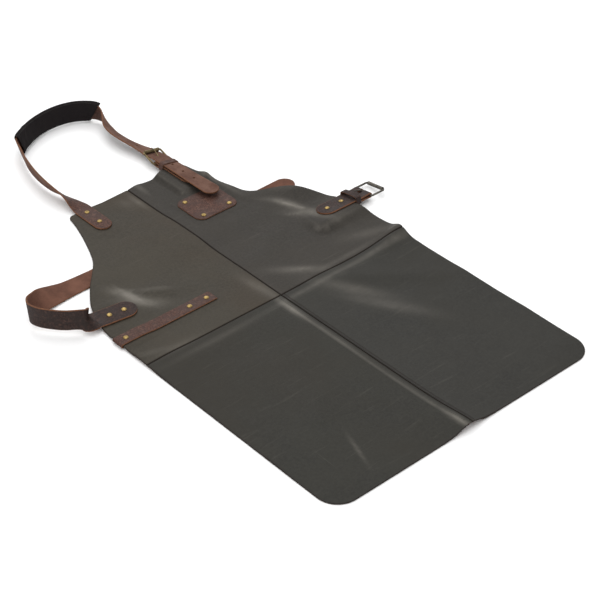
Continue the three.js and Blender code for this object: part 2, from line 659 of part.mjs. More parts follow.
// the pad: a flat fabric sleeve, open at both ends, with a foam strip beside the strap
const neckFrames = strapFrames(NECK_ROUTE, NECK_STEP);
function frameNearest([x, y, z]) {
  const target = new THREE.Vector3(x, y, z);
  const distances = neckFrames.map((f) => f.at.distanceTo(target));
  return distances.indexOf(Math.min(...distances));
}
const padFrames = neckFrames.slice(
  frameNearest(PAD_ROUTE[0]), frameNearest(PAD_ROUTE[PAD_ROUTE.length - 1]) + 1);
const foamMid = -(NECK_STRAP_THICKNESS / 2 + PAD_EASE + PAD_FOAM / 2);
const padInner = {
  back: NECK_STRAP_THICKNESS / 2 + PAD_EASE,
  front: foamMid - PAD_FOAM / 2 - 2 * CLEARANCE,
  half: PAD_HEIGHT / 2 - PAD_WALL,
};
function padRing(f, grow, chamfer) {
  const at = (a, b) => f.at.clone().addScaledVector(f.across, a).addScaledVector(f.normal, -b);
  const h = padInner.half + grow;
  const back = padInner.back + grow;
  const front = padInner.front - grow;
  return [
    at(-h, front + chamfer), at(-h, back - chamfer), at(-h + 2 * chamfer, back),
    at(h - 2 * chamfer, back), at(h, back - chamfer), at(h, front + chamfer),
    at(h - 2 * chamfer, front), at(-h + 2 * chamfer, front),
  ];
}
const outerRings = padFrames.map((f) => padRing(f, PAD_WALL, 1.2));
const innerRings = padFrames.map((f) => padRing(f, 0, 0.9)).reverse();
add(apron, 'neck_pad_cover',
  loft([...outerRings, ...innerRings], true), PAD_FABRIC);
const foamRings = padFrames.slice(2, -2).map((f) => {
  const half = NECK_STRAP_WIDTH / 2 + 1;
  const at = (a, b) => f.at.clone().addScaledVector(f.across, a)
    .addScaledVector(f.normal, b * PAD_FOAM / 2 - foamMid);
  return [at(-half, -1), at(half, -1), at(half, 1), at(-half, 1)];
});
add(apron, 'neck_pad_padding', loft(foamRings), PAD_FILL);

// ================================================================ 3. waist buckle
const WAIST_SET = {
  width: WAIST_STRAP_WIDTH, thickness: WAIST_STRAP_THICKNESS, wire: 3.6, inner: WAIST_STRAP_WIDTH + 1.6,
  frameLength: 30, rollerWall: 1.3, tabLength: 102, slotLength: 11, slotWidth: 6.5,
  keeperWidth: 11, keeperWall: 1.4,
};
const WAIST_KEEPER_X = -28.5;
const waistGroup = tiltedGroup(WAIST_BAR_X, WAIST_BUCKLE_Y, WAIST_TAB_HEIGHT, 0, WAIST_TAB_ROLL);
const waistSet = buckleSet(WAIST_SET);
const waistTabTop = waistSet.half + WAIST_STRAP_THICKNESS / 2;
const waistRivets = [-51, -83];
for (const [i, x] of waistRivets.entries()) {
  rivet(`waist_right_${i + 1}`, waistGroup, x, 0, waistTabTop, -waistTabTop);
}
const waistTabHoles = rivetHoles.slice(-2).map((h) => h.clone().applyMatrix4(
  waistGroup.matrixWorld.clone().invert()));
add(waistGroup, 'waist_buckle_tab', cut(waistSet.tab, waistTabHoles), STRAP_LEATHER);
add(waistGroup, 'waist_buckle_frame', waistSet.frame, GUNMETAL);
const waistRoller = add(waistGroup, 'waist_buckle_roller', waistSet.roller, GUNMETAL);
waistRoller.position.x = WAIST_SET.frameLength;
add(waistGroup, 'waist_buckle_prong', prongGeometry(WAIST_SET.wire / 2, PRONG_RADIUS, [
  [-6, 6.4], [-12, 8.6], [-20.5, 12],
], -60, 125), GUNMETAL);
const waistKeeper = add(waistGroup, 'waist_keeper', keeperGeometry(
  WAIST_SET, -waistTabTop, waistTabTop + WAIST_STRAP_THICKNESS + 1), STRAP_LEATHER);
waistKeeper.position.x = WAIST_KEEPER_X;

// ================================================================ 4. waist strap
const waistRollLeft = THREE.MathUtils.radToDeg(Math.atan(WAIST_LEFT_TILT));
const onBib = (x, y, thickness) => leatherHeight(x, y) + PANEL_THICKNESS + CLEARANCE + thickness / 2;
const WAIST_LEFT_X = LEFT_EDGE + 40;
const waistLeftZ = onBib(WAIST_LEFT_X, waistLeftY(WAIST_LEFT_X), WAIST_STRAP_THICKNESS) + 0.15;
const flatZ = WAIST_STRAP_THICKNESS / 2 + 0.05;
const WAIST_ROUTE = [
  [LEFT_EDGE + 76, waistLeftY(LEFT_EDGE + 76), waistLeftZ, waistRollLeft],
  [LEFT_EDGE + 45, waistLeftY(LEFT_EDGE + 45), waistLeftZ, waistRollLeft],
  [LEFT_EDGE + 14, waistLeftY(LEFT_EDGE + 14), waistLeftZ + 0.1, waistRollLeft],
  [LEFT_EDGE + 3, waistLeftY(LEFT_EDGE + 3) - 0.5, waistLeftZ + 1.2, waistRollLeft + 4],
  [LEFT_EDGE - 7, 132, 18.5, 42],
  [LEFT_EDGE - 18, 129, 26, 80],
  [LEFT_EDGE - 29, 136, 27.5, 90],
  [LEFT_EDGE - 44, 148, 27, 90],
  [LEFT_EDGE - 60, 166, 27, 90],
  [LEFT_EDGE - 71, 184, 27, 90],
  [LEFT_EDGE - 74, 201, 26.5, 92],
  [LEFT_EDGE - 66, 214, 25.5, 99],
  [LEFT_EDGE - 47, 222, 21, 115],
  [LEFT_EDGE - 25, 230, 14.5, 140],
  [LEFT_EDGE - 2, 236, 8, 161],
  [LEFT_EDGE + 20, 238.5, flatZ + 2.6, 173],
  [LEFT_EDGE + 38, 239.6, flatZ + 1, 177],
  [LEFT_EDGE + 58, WAIST_RUN_Y, flatZ + 0.36, 179],
  [LEFT_EDGE + 80, WAIST_RUN_Y, flatZ, 180],
  [LEFT_EDGE + 100, WAIST_RUN_Y, flatZ, 180],
  [-120, WAIST_RUN_Y, flatZ, 180],
  [0, WAIST_RUN_Y, flatZ, 180],
  [150, WAIST_RUN_Y, flatZ, 180],
  [APRON_HALF_WIDTH - 34, WAIST_RUN_Y + 2, flatZ, 180],
];
const waistPlain = strap(WAIST_ROUTE, {
  width: WAIST_STRAP_WIDTH, thickness: WAIST_STRAP_THICKNESS, step: 11, roundStart: true, roundEnd: true,
});
const waistLeftRivetXs = [LEFT_EDGE + 55, LEFT_EDGE + 29];
const waistLeftGroup = new THREE.Group();
waistLeftGroup.rotation.x = Math.atan(WAIST_LEFT_TILT);
waistLeftGroup.position.set(WAIST_LEFT_X, waistLeftY(WAIST_LEFT_X), waistLeftZ);
waistLeftGroup.rotation.z = Math.atan(WAIST_LEFT_LINE.slope);
waistLeftGroup.rotation.order = 'ZYX';
waistLeftGroup.updateMatrixWorld(true);
apron.add(waistLeftGroup);
for (const [i, x] of waistLeftRivetXs.entries()) {
  const stack = WAIST_STRAP_THICKNESS / 2 + 2 * CLEARANCE + PANEL_THICKNESS + 0.15;
  rivet(`waist_left_${i + 1}`, waistLeftGroup, x - WAIST_LEFT_X, 0, WAIST_STRAP_THICKNESS / 2 + 0.15, -stack);
}
add(apron, 'waist_strap', cut(waistPlain, rivetHoles.slice(-2)), STRAP_LEATHER);

// ================================================================ 5. grid lines of the panels
const BIB_CELL = 25;
const SKIRT_CELL = 32;
// grid lines about `cell` apart, with the lines in `extra` among them
function gridLines(from, to, cell, extra) {
  const fixed = [from, to, ...extra.filter((v) => v > from && v < to)].sort((a, b) => a - b);
  const lines = [from];
  for (let i = 1; i < fixed.length; i++) {
    const gap = fixed[i] - fixed[i - 1];
    if (gap < 0.01) continue;
    const count = Math.max(1, Math.round(gap / cell));
    for (let k = 1; k <= count; k++) lines.push(fixed[i - 1] + gap * k / count);
  }
  return lines;
}
const STEP_WIDTH = 0.4;
const seamLines = [ALLOWANCE_WIDTH, ALLOWANCE_WIDTH + STEP_WIDTH];
const EDGE = 16;                      // the grid reaches past the cutting line
const CORNER_RELIEF = 14;             // allowances of the centre seam stop short of the waist seam

const flipped = (values) => values.map((v) => -v).reverse();
const spansX = (patches) => patches.flatMap((p) => p.x);
const spansY = (patches) => patches.flatMap((p) => p.y);
const rightPatches = [WAIST_RIGHT_PATCH, NECK_PATCH, BADGE_PATCH];
const leftPatches = [TOWEL_PATCH, WAIST_LEFT_PATCH, NECK_LEFT_PATCH];
const seamGrid = [...seamLines, CORNER_RELIEF];
const skirtXs = gridLines(SEAM_GAP / 2, APRON_HALF_WIDTH + EDGE, SKIRT_CELL, seamLines);
const skirtYs = gridLines(SEAM_GAP / 2, SKIRT_LENGTH + EDGE, SKIRT_CELL, seamGrid);
const bibRightXs = gridLines(SEAM_GAP / 2, APRON_HALF_WIDTH + EDGE, BIB_CELL,
  [...seamLines, ...spansX(rightPatches)]);
const bibRightYs = gridLines(SEAM_GAP / 2, BIB_LENGTH + EDGE, BIB_CELL,
  [...seamGrid, ...spansY(rightPatches)]);
const bibLeftXs = gridLines(-APRON_HALF_WIDTH - EDGE, -SEAM_GAP / 2, BIB_CELL,
  [...flipped(seamLines), ...spansX(leftPatches)]);
const bibLeftYs = gridLines(SEAM_GAP / 2, BIB_LENGTH + EDGE, BIB_CELL,
  [...seamGrid, ...spansY(leftPatches)]);

// ================================================================ 6. towel strap and badge
const TOWEL_RIGHT_X = -83;
const TOWEL_TUCK = 26;               // length folded back under the bib's edge
const towelMid = PANEL_THICKNESS / 2;
const towelHalf = PANEL_THICKNESS / 2 + CLEARANCE + TOWEL_STRAP_THICKNESS / 2;
const towelHeight = (x) => leatherHeight(x, TOWEL_Y) + towelMid;
const towelRings = (() => {
  const route = [];
  const seats = bibLeftXs.filter((x) => x > 6 - APRON_HALF_WIDTH && x < TOWEL_RIGHT_X - 4);
  for (const x of [TOWEL_RIGHT_X, ...seats.reverse()]) route.push([x, towelHeight(x) + towelHalf]);
  const edge = -(APRON_HALF_WIDTH + CLEARANCE);
  const middle = towelHeight(edge);
  for (let i = 0; i <= 6; i++) {
    const a = Math.PI / 2 + Math.PI * i / 6;
    route.push([edge + Math.cos(a) * towelHalf, middle + Math.sin(a) * towelHalf]);
  }
  route.push([edge + TOWEL_TUCK, middle - towelHalf]);
  return route.map(([x, z], i) => {
    const a = route[Math.max(0, i - 1)];
    const b = route[Math.min(route.length - 1, i + 1)];
    const along = new THREE.Vector2(b[0] - a[0], b[1] - a[1]).normalize();
    const out = new THREE.Vector2(along.y, -along.x);
    const w = TOWEL_STRAP_WIDTH / 2;
    const t = TOWEL_STRAP_THICKNESS / 2;
    const corner = (across, n) =>
      new THREE.Vector3(x + out.x * n, TOWEL_Y + across, z + out.y * n);
    return [corner(-w, -t), corner(-w, t), corner(w, t), corner(w, -t)];
  });
})();
const flatGroup = tiltedGroup(0, 0, 0, 0, 0);
const towelRivetXs = [-96, -130, LEFT_EDGE + 14];
for (const [i, x] of towelRivetXs.entries()) {
  const folded = x < LEFT_EDGE + 30;
  const top = towelHeight(x) + towelHalf + TOWEL_STRAP_THICKNESS / 2;
  const bottom = folded ? top - 2 * (towelHalf + TOWEL_STRAP_THICKNESS / 2) : towelHeight(x) - towelMid;
  rivet(`towel_${i + 1}`, flatGroup, x, TOWEL_Y, top, bottom);
}
add(apron, 'towel_strap', cut(loft(towelRings), rivetHoles.slice(-3)), STRAP_LEATHER);

function roundedRectangle(width, height, radius) {
  const w = width / 2;
  const h = height / 2;
  const shape = new THREE.Shape();
  shape.moveTo(w, h - radius);
  shape.absarc(w - radius, h - radius, radius, 0, Math.PI / 2);
  shape.absarc(radius - w, h - radius, radius, Math.PI / 2, Math.PI);
  shape.absarc(radius - w, radius - h, radius, Math.PI, 1.5 * Math.PI);
  shape.absarc(w - radius, radius - h, radius, 1.5 * Math.PI, 2 * Math.PI);
  return shape;
}
const badgeBottom = leatherHeight(...BADGE_CENTRE) + PANEL_THICKNESS + CLEARANCE;
const badgePlain = new THREE.ExtrudeGeometry(
  roundedRectangle(BADGE_WIDTH, BADGE_HEIGHT, BADGE_CORNER_RADIUS),
  { depth: BADGE_THICKNESS, bevelEnabled: false, curveSegments: 5 });
badgePlain.translate(BADGE_CENTRE[0], BADGE_CENTRE[1], badgeBottom);
const badgeCorners = [[-1, 1], [-1, -1], [1, -1], [1, 1]];
for (const [i, [sx, sy]] of badgeCorners.entries()) {
  rivet(`badge_${i + 1}`, flatGroup,
    BADGE_CENTRE[0] + sx * BADGE_RIVET_SPAN_X / 2, BADGE_CENTRE[1] + sy * BADGE_RIVET_SPAN_Y / 2,
    badgeBottom + BADGE_THICKNESS, badgeBottom - CLEARANCE - PANEL_THICKNESS);
}
add(apron, 'badge', cut(badgePlain, rivetHoles.slice(-4)), STRAP_LEATHER);

// ================================================================ 7. panels and seams
// half of the cutting line, hem to neck; the armhole is a smooth curve through its turning points
function halfOutline() {
  const shape = new THREE.Shape();
  shape.moveTo(0, -SKIRT_LENGTH);
  shape.lineTo(APRON_HALF_WIDTH - HEM_CORNER_RADIUS, -SKIRT_LENGTH);
  shape.absarc(APRON_HALF_WIDTH - HEM_CORNER_RADIUS, HEM_CORNER_RADIUS - SKIRT_LENGTH,
    HEM_CORNER_RADIUS, -Math.PI / 2, 0);
  const flank = 85;
  shape.lineTo(APRON_HALF_WIDTH, flank);
  const w = APRON_HALF_WIDTH;
  const corner = BIB_CORNER_RADIUS;
  const top = BIB_TOP_HALF_WIDTH;
  shape.splineThru([
    [w - 5, flank + 40], [w - 22, flank + 87], [w - 50, flank + 129], [w - 77, flank + 160],
    [w - 95, flank + 182], [top + 36, BIB_LENGTH - 114], [top + 19, BIB_LENGTH - 71],
    [top + 7, BIB_LENGTH - 34], [top + 1, BIB_LENGTH - corner],
  ].map(([x, y]) => new THREE.Vector2(x, y)));
  shape.quadraticCurveTo(top, BIB_LENGTH, top - corner, BIB_LENGTH);
  shape.lineTo(0, BIB_LENGTH);
  return shape.getPoints(3);
}
const right = halfOutline();
const left = right.slice(1, -1).map((p) => new THREE.Vector2(-p.x, p.y)).reverse();
const outline = new THREE.Shape([...right, ...left].map((p) => new THREE.Vector2(laidX(p.x, p.y), p.y)));
const cutter = new THREE.ExtrudeGeometry(outline, { depth: 120, bevelEnabled: false, steps: 1 });
cutter.translate(0, 0, -40);
const cutterSolid = toSolid(cutter);

function panelUnderside(x, y) {
  const nearCentre = Math.abs(x) <= ALLOWANCE_WIDTH + 0.01 && Math.abs(y) > CORNER_RELIEF;
  const nearWaist = Math.abs(y) <= ALLOWANCE_WIDTH + 0.01;
  return leatherHeight(x, y) - (nearCentre || nearWaist ? ALLOWANCE_THICKNESS : 0);
}
const panelTop = (x, y) => leatherHeight(x, y) + PANEL_THICKNESS;

function panel(name, xs, ys) {
  let solid = toSolid(heightSlab(xs, ys, panelUnderside, panelTop)).intersect(cutterSolid);
  for (const hole of rivetHoles) solid = solid.subtract(toSolid(hole));
  add(apron, name, toGeometry(solid), PANEL_LEATHER);
}
panel('bib_left_panel', bibLeftXs, bibLeftYs);
panel('bib_right_panel', bibRightXs, bibRightYs);
panel('skirt_left_panel', flipped(skirtXs), flipped(skirtYs));
panel('skirt_right_panel', skirtXs, flipped(skirtYs));

// the threads lie in the grooves, just under the face, and one row shows beside the skirt seam
function thread(name, xs, ys, low) {
  add(apron, name, heightSlab(xs, ys,
    (x, y) => leatherHeight(x, y) + low, (x, y) => leatherHeight(x, y) + low + THREAD), THREAD_FINISH);
}
const across = [-THREAD / 2, THREAD / 2];
const inGroove = PANEL_THICKNESS / 2;
const between = (lines, low, high) => lines.filter((v) => v > low && v < high);
const skirtRun = flipped(between(skirtYs, 1, SKIRT_LENGTH - 4));
const halfWaist = between(skirtXs, 0, APRON_HALF_WIDTH - 4);
thread('bib_seam_thread', across, between(bibLeftYs, 1, BIB_LENGTH - 4), inGroove);
thread('skirt_seam_thread', across, skirtRun, inGroove);
thread('waist_seam_thread', [...flipped(halfWaist), ...halfWaist], across, inGroove);
thread('skirt_topstitch', [-TOPSTITCH_OFFSET - THREAD / 2, -TOPSTITCH_OFFSET + THREAD / 2],
  skirtRun, PANEL_THICKNESS + CLEARANCE);

// ================================================================ 8. origin under the middle
apron.updateMatrixWorld(true);
const box = new THREE.Box3().setFromObject(apron, true);
const middle = box.getCenter(new THREE.Vector3());
apron.position.set(-middle.x, -middle.y, -box.min.z);
apron.updateMatrixWorld(true);

export default apron;
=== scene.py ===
import math

import bmesh
import bpy
import numpy as np
from mathutils import Matrix, Vector, noise


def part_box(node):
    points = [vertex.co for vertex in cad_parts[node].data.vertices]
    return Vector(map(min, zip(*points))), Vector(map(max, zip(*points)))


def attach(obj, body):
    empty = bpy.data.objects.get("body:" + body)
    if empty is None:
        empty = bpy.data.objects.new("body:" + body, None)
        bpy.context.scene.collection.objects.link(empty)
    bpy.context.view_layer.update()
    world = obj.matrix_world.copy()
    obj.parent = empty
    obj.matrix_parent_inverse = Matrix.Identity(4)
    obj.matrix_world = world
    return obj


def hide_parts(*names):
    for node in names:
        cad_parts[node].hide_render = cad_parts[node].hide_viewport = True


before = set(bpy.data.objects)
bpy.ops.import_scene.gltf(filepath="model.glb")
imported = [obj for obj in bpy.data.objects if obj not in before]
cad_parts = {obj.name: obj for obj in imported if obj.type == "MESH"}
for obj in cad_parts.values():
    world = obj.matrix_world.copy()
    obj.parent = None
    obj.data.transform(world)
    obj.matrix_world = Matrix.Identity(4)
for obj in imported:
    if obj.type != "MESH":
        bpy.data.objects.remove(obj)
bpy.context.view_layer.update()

# ------------------------------------------------------------------ places
# All sizes below are millimetres in the garment's own frame: X = 0 on the centre seam,
# Y = 0 on the waist seam. The frame gives where that is.
APRON_HALF_WIDTH = 270.0
SKIRT_LENGTH = 424.0
BIB_LENGTH = 406.0
BIB_TOP_HALF_WIDTH = 125.0
HEM_CORNER_RADIUS = 38.0
BIB_CORNER_RADIUS = 8.0
PANEL_THICKNESS = 2.0
CLEARANCE = 0.3
SEAM_GAP = 1.3

_skirt_low, _skirt_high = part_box("skirt_right_panel")
OFFSET = Vector((_skirt_high.x * 1000 - APRON_HALF_WIDTH, _skirt_low.y * 1000 + SKIRT_LENGTH, 0.0))


def to_frame(points):
    """garment millimetres to the row frame, in metres"""
    return (np.asarray(points, float) + np.array(OFFSET)) / 1000.0


# ------------------------------------------------------------------ how the leather lies
def ease(a, b, v):
    u = np.clip((np.asarray(v, float) - a) / (b - a), 0, 1)
    return u * u * (3 - 2 * u)


def windowed(v, low, high, fade):
    return ease(low - fade, low, v) * (1 - ease(high, high + fade, v))


def swell(x, y, at, spread, height, turn=0.0):
    c, s = math.cos(math.radians(turn)), math.sin(math.radians(turn))
    dx, dy = x - at[0], y - at[1]
    u = (dx * c + dy * s) / spread[0]
    v = (dy * c - dx * s) / spread[1]
    return height * np.exp(-u * u - v * v)


SWELLS = [
    ((-6, -SKIRT_LENGTH), (26, 60), 8, 0), ((262, 4), (62, 17), 11, 8),
    ((272, 82), (46, 16), 4, 0), ((222, 222), (46, 30), 9, -30),
    ((18, BIB_LENGTH), (13, 44), 3, 0), ((150, 300), (22, 60), 5, 12),
    ((150, -60), (120, 22), 3.5, -38), ((90, 130), (90, 20), 3, 24),
    ((-150, 150), (60, 16), 4, -34), ((-150, -250), (90, 30), 2, 40),
    ((-250, 20), (50, 18), 3, -20), ((BIB_TOP_HALF_WIDTH + 9, BIB_LENGTH - 52), (20, 15), 7, -20),
]
WAIST_RUN_Y = 240.0
WAIST_STRAP_THICKNESS = 2.8
WAIST_STRAP_WIDTH = 38.0
LIFT_OVER_WAIST_STRAP = WAIST_STRAP_THICKNESS + 2 * CLEARANCE
NECK_BUCKLE_X, NECK_BAR_Y, NECK_TAB_ROLL, NECK_TAB_HEIGHT = 96.0, 431.0, 10.0, 8.8
WAIST_BUCKLE_Y, WAIST_BAR_X, WAIST_TAB_ROLL, WAIST_TAB_HEIGHT = 125.0, 296.0, -8.0, 9.0
RIVET_FOOT = 1 + 2 * CLEARANCE
WAIST_LEFT_TILT = 0.06
TOWEL_Y = 71.0
TOWEL_FOLD_LIFT = 2.2 + CLEARANCE
NECK_LEFT_X = -95.0
BADGE_CENTRE = (74.0, 278.0)
BADGE_SIZE = (88.0, 72.0)


def waist_left_y(x):
    return 130 - 0.14 * (x + 215)


PATCHES = [
    ((76, 115), (334, 410), 25, lambda x, y: NECK_TAB_HEIGHT - 1
     - math.tan(math.radians(NECK_TAB_ROLL)) * (x - NECK_BUCKLE_X)),
    ((186, 274), (103, 147), 30, lambda x, y: WAIST_TAB_HEIGHT - 1
     + math.tan(math.radians(WAIST_TAB_ROLL)) * (y - WAIST_BUCKLE_Y)),
    ((-276, -82), (TOWEL_Y - 14, TOWEL_Y + 14), 16, lambda x, y: RIVET_FOOT
     + TOWEL_FOLD_LIFT * (1 - ease(-238, -196, x))),
    ((-272, -186), (107, 161), 22, lambda x, y: RIVET_FOOT + 2.2
     + WAIST_LEFT_TILT * (y - waist_left_y(x))),
    ((NECK_LEFT_X - 18, NECK_LEFT_X + 18), (333, 410), 26, lambda x, y: RIVET_FOOT + 0 * x),
    ((BADGE_CENTRE[0] - 44, BADGE_CENTRE[0] + 44), (BADGE_CENTRE[1] - 36, BADGE_CENTRE[1] + 36), 16,
     lambda x, y: RIVET_FOOT + LIFT_OVER_WAIST_STRAP + 0 * x),
]


def leather_height(x, y):
    """height of the apron leather's underside"""
    x, y = np.asarray(x, float), np.asarray(y, float)
    def off_seam(d):
        return ease(10, 28, np.abs(d))
    h = 2.0 * (1 - off_seam(x) * off_seam(y))
    for at, spread, height, turn in SWELLS:
        h = h + swell(x, y, at, spread, height, turn)
    half = WAIST_STRAP_WIDTH / 2 + 2
    h = h + LIFT_OVER_WAIST_STRAP * windowed(y, WAIST_RUN_Y - half, WAIST_RUN_Y + half, 26)
    for xs, ys, fade, level in PATCHES:
        w = windowed(x, xs[0], xs[1], fade) * windowed(y, ys[0], ys[1], fade)
        h = h + (level(x, y) - h) * w
    return h


def hardware_free(x, y):
    """1 where nothing is fixed to the leather, 0 under straps and badge"""
    free = np.ones_like(np.asarray(x, float))
    for xs, ys, _, _ in PATCHES:
        covered = windowed(x, xs[0] - 3, xs[1] + 3, 14) * windowed(y, ys[0] - 3, ys[1] + 3, 14)
        free = free * (1 - covered)
    return free


def laid_x(x, y):
    return (x - 8 * ease(118, 165, x) * np.exp(-((y - 115) / 36) ** 2)
            - ease(100, 172, x) * (18 * np.exp(-((y - 312) / 48) ** 2)
                                   + 22 * np.exp(-((y - WAIST_RUN_Y - 16) / 30) ** 2)))


# ------------------------------------------------------------------ curves
def catmull(points, count, centripetal=True):
    """count + 1 points evenly spaced in parameter along a Catmull-Rom curve"""
    p = np.asarray(points, float)
    spans = len(p) - 1
    out = []
    for i in range(count + 1):
        t = i / count * spans
        a = min(int(t), spans - 1)
        w = t - a
        p1, p2 = p[a], p[a + 1]
        p0 = p[a - 1] if a > 0 else 2 * p[0] - p[1]
        p3 = p[a + 2] if a + 2 <= spans else 2 * p[-1] - p[-2]
        if centripetal:
            d0 = max(np.linalg.norm(p1 - p0), 1e-8) ** 0.5
            d1 = max(np.linalg.norm(p2 - p1), 1e-8) ** 0.5
            d2 = max(np.linalg.norm(p3 - p2), 1e-8) ** 0.5
            m1 = ((p1 - p0) / d0 - (p2 - p0) / (d0 + d1) + (p2 - p1) / d1) * d1
            m2 = ((p2 - p1) / d1 - (p3 - p1) / (d1 + d2) + (p3 - p2) / d2) * d1
        else:
            m1, m2 = (p2 - p0) / 2, (p3 - p1) / 2
        out.append(p1 + m1 * w + (-3 * p1 + 3 * p2 - 2 * m1 - m2) * w * w
                   + (2 * p1 - 2 * p2 + m1 + m2) * w ** 3)
    return np.array(out)


def strap_frames(stations, step):
    """evenly spaced places along a strap: point, the way it runs, across and normal"""
    s = np.asarray(stations, float)
    n = 60 * (len(s) - 1)
    at = catmull(s[:, :3], n)
    roll = catmull(s[:, 3:4], n, False)[:, 0]
    lengths = np.concatenate([[0], np.cumsum(np.linalg.norm(np.diff(at, axis=0), axis=1))])
    total = lengths[-1]
    count = max(2, round(total / step))
    d = np.linspace(0, total, count + 1)
    at = np.stack([np.interp(d, lengths, at[:, k]) for k in range(3)], 1)
    roll = np.radians(np.interp(d, lengths, roll))
    along = np.gradient(at, axis=0)
    along /= np.linalg.norm(along, axis=1)[:, None]
    right = np.cross(along, [0, 0, 1.0])
    right /= np.linalg.norm(right, axis=1)[:, None]
    up = np.cross(right, along)
    c, sn = np.cos(roll)[:, None], np.sin(roll)[:, None]
    return {"at": at, "along": along, "across": right * c + up * sn, "normal": up * c - right * sn,
            "distance": d, "length": total}


# ------------------------------------------------------------------ mesh helpers
def mesh_object(name, points, faces, smooth=True, in_frame=False):
    mesh = bpy.data.meshes.new(name)
    co = np.asarray(points, float) if in_frame else to_frame(points)
    mesh.from_pydata([tuple(p) for p in co], [], [tuple(int(i) for i in f) for f in faces])
    mesh.validate()
    mesh.update()
    if smooth:
        mesh.polygons.foreach_set("use_smooth", [True] * len(mesh.polygons))
    obj = bpy.data.objects.new(name, mesh)
    bpy.context.scene.collection.objects.link(obj)
    return obj


def outward(obj):
    bm = bmesh.new()
    bm.from_mesh(obj.data)
    bmesh.ops.remove_doubles(bm, verts=bm.verts, dist=1e-7)
    bmesh.ops.recalc_face_normals(bm, faces=bm.faces)
    bm.to_mesh(obj.data)
    bm.free()
    return obj


def apply_all(obj):
    """the evaluated mesh takes the object's place and its modifiers go"""
    bpy.context.view_layer.update()
    graph = bpy.context.evaluated_depsgraph_get()
    mesh = bpy.data.meshes.new_from_object(obj.evaluated_get(graph), preserve_all_data_layers=True,
                                           depsgraph=graph)
    obj.modifiers.clear()
    old = obj.data
    obj.data = mesh
    bpy.data.meshes.remove(old)
    return obj


def ring_faces(rings, n, closed_ring=True, closed_loop=False, base=0):
    faces = []
    last = rings if closed_loop else rings - 1
    for i in range(last):
        a = base + i * n
        b = base + ((i + 1) % rings) * n
        for k in range(n if closed_ring else n - 1):
            l = (k + 1) % n
            faces.append((a + k, a + l, b + l, b + k))
    return faces


def tube(name, points, radius, sides=14, closed=False, in_frame=False, profile=None):
    """a round bar along points; profile scales the radius point by point"""
    p = np.asarray(points, float)
    n = len(p)
    if closed:
        along = np.roll(p, -1, 0) - np.roll(p, 1, 0)
    else:
        along = np.gradient(p, axis=0)
    along /= np.linalg.norm(along, axis=1)[:, None]
    side = np.cross(along[0], [0.3, 0.5, 0.81])
    side /= np.linalg.norm(side)
    verts = []
    for i in range(n):
        side = side - along[i] * np.dot(side, along[i])
        side /= np.linalg.norm(side)
        other = np.cross(along[i], side)
        r = radius * (1 if profile is None else profile[i])
        for k in range(sides):
            a = 2 * math.pi * k / sides
            verts.append(p[i] + r * (math.cos(a) * side + math.sin(a) * other))
    faces = ring_faces(n, sides, closed_loop=closed)
    if not closed:
        faces.append(tuple(range(sides))[::-1])
        faces.append(tuple(range((n - 1) * sides, n * sides)))
    return outward(mesh_object(name, verts, faces, in_frame=in_frame))


def add_uv(obj, values, name="UVMap"):
    """values: one (u, v) per vertex"""
    layer = obj.data.uv_layers.new(name=name)
    loops = np.zeros(len(obj.data.loops), np.int32)
    obj.data.loops.foreach_get("vertex_index", loops)
    layer.data.foreach_set("uv", np.asarray(values, np.float32)[loops].ravel())


def add_value(obj, name, values):
    layer = obj.data.attributes.new(name, "FLOAT", "POINT")
    layer.data.foreach_set("value", np.asarray(values, np.float32))


# ------------------------------------------------------------------ node trees
def operator(operation, swapped=False):
    """a sum of a socket with a number or another socket"""
    def method(self, other):
        pair = (other, self) if swapped else (self, other)
        return self._math(operation, *pair)
    return method


class Socket:
    """a node socket that takes part in sums"""

    def __init__(self, tree, out):
        self.tree, self.out = tree, out

    def _math(self, operation, *values):
        return self.tree.node("ShaderNodeMath", {"operation": operation}, *values)[0]

    __add__ = operator("ADD")
    __radd__ = operator("ADD", swapped=True)
    __sub__ = operator("SUBTRACT")
    __rsub__ = operator("SUBTRACT", swapped=True)
    __mul__ = operator("MULTIPLY")
    __rmul__ = operator("MULTIPLY", swapped=True)
    __truediv__ = operator("DIVIDE")
    __pow__ = operator("POWER")

    def clamp(self):
        return self.tree.node("ShaderNodeClamp", {}, self)[0]

    def band(self, low, high):
        """0 below low, 1 above high, smooth between"""
        return self.tree.node("ShaderNodeMapRange", {"interpolation_type": "SMOOTHSTEP"},
                              self, low, high, 0.0, 1.0)[0]


class Tree:
    """a node tree; one method adds any node with its settings and inputs"""

    def __init__(self, node_tree):
        self.nodes = node_tree.nodes
        self.links = node_tree.links

    def put(self, socket, value):
        if isinstance(value, Socket):
            self.links.new(value.out, socket)
        elif value is not None:
            socket.default_value = value

    def node(self, kind, settings, *values, **named):
        n = self.nodes.new(kind)
        for key, v in settings.items():
            if key == "stops":
                ramp = n.color_ramp
                while len(ramp.elements) < len(v):
                    ramp.elements.new(0.5)
                for e, (pos, colour) in zip(ramp.elements, v):
                    e.position, e.color = pos, (*colour, 1)
            else:
                setattr(n, key, v)
        live = [s for s in n.inputs if s.enabled]
        for s, v in zip(live, values):
            self.put(s, v)
        for key, v in named.items():
            self.put(next(s for s in n.inputs if s.name == key.replace("_", " ") and s.enabled), v)
        return [Socket(self, s) for s in n.outputs if s.enabled]


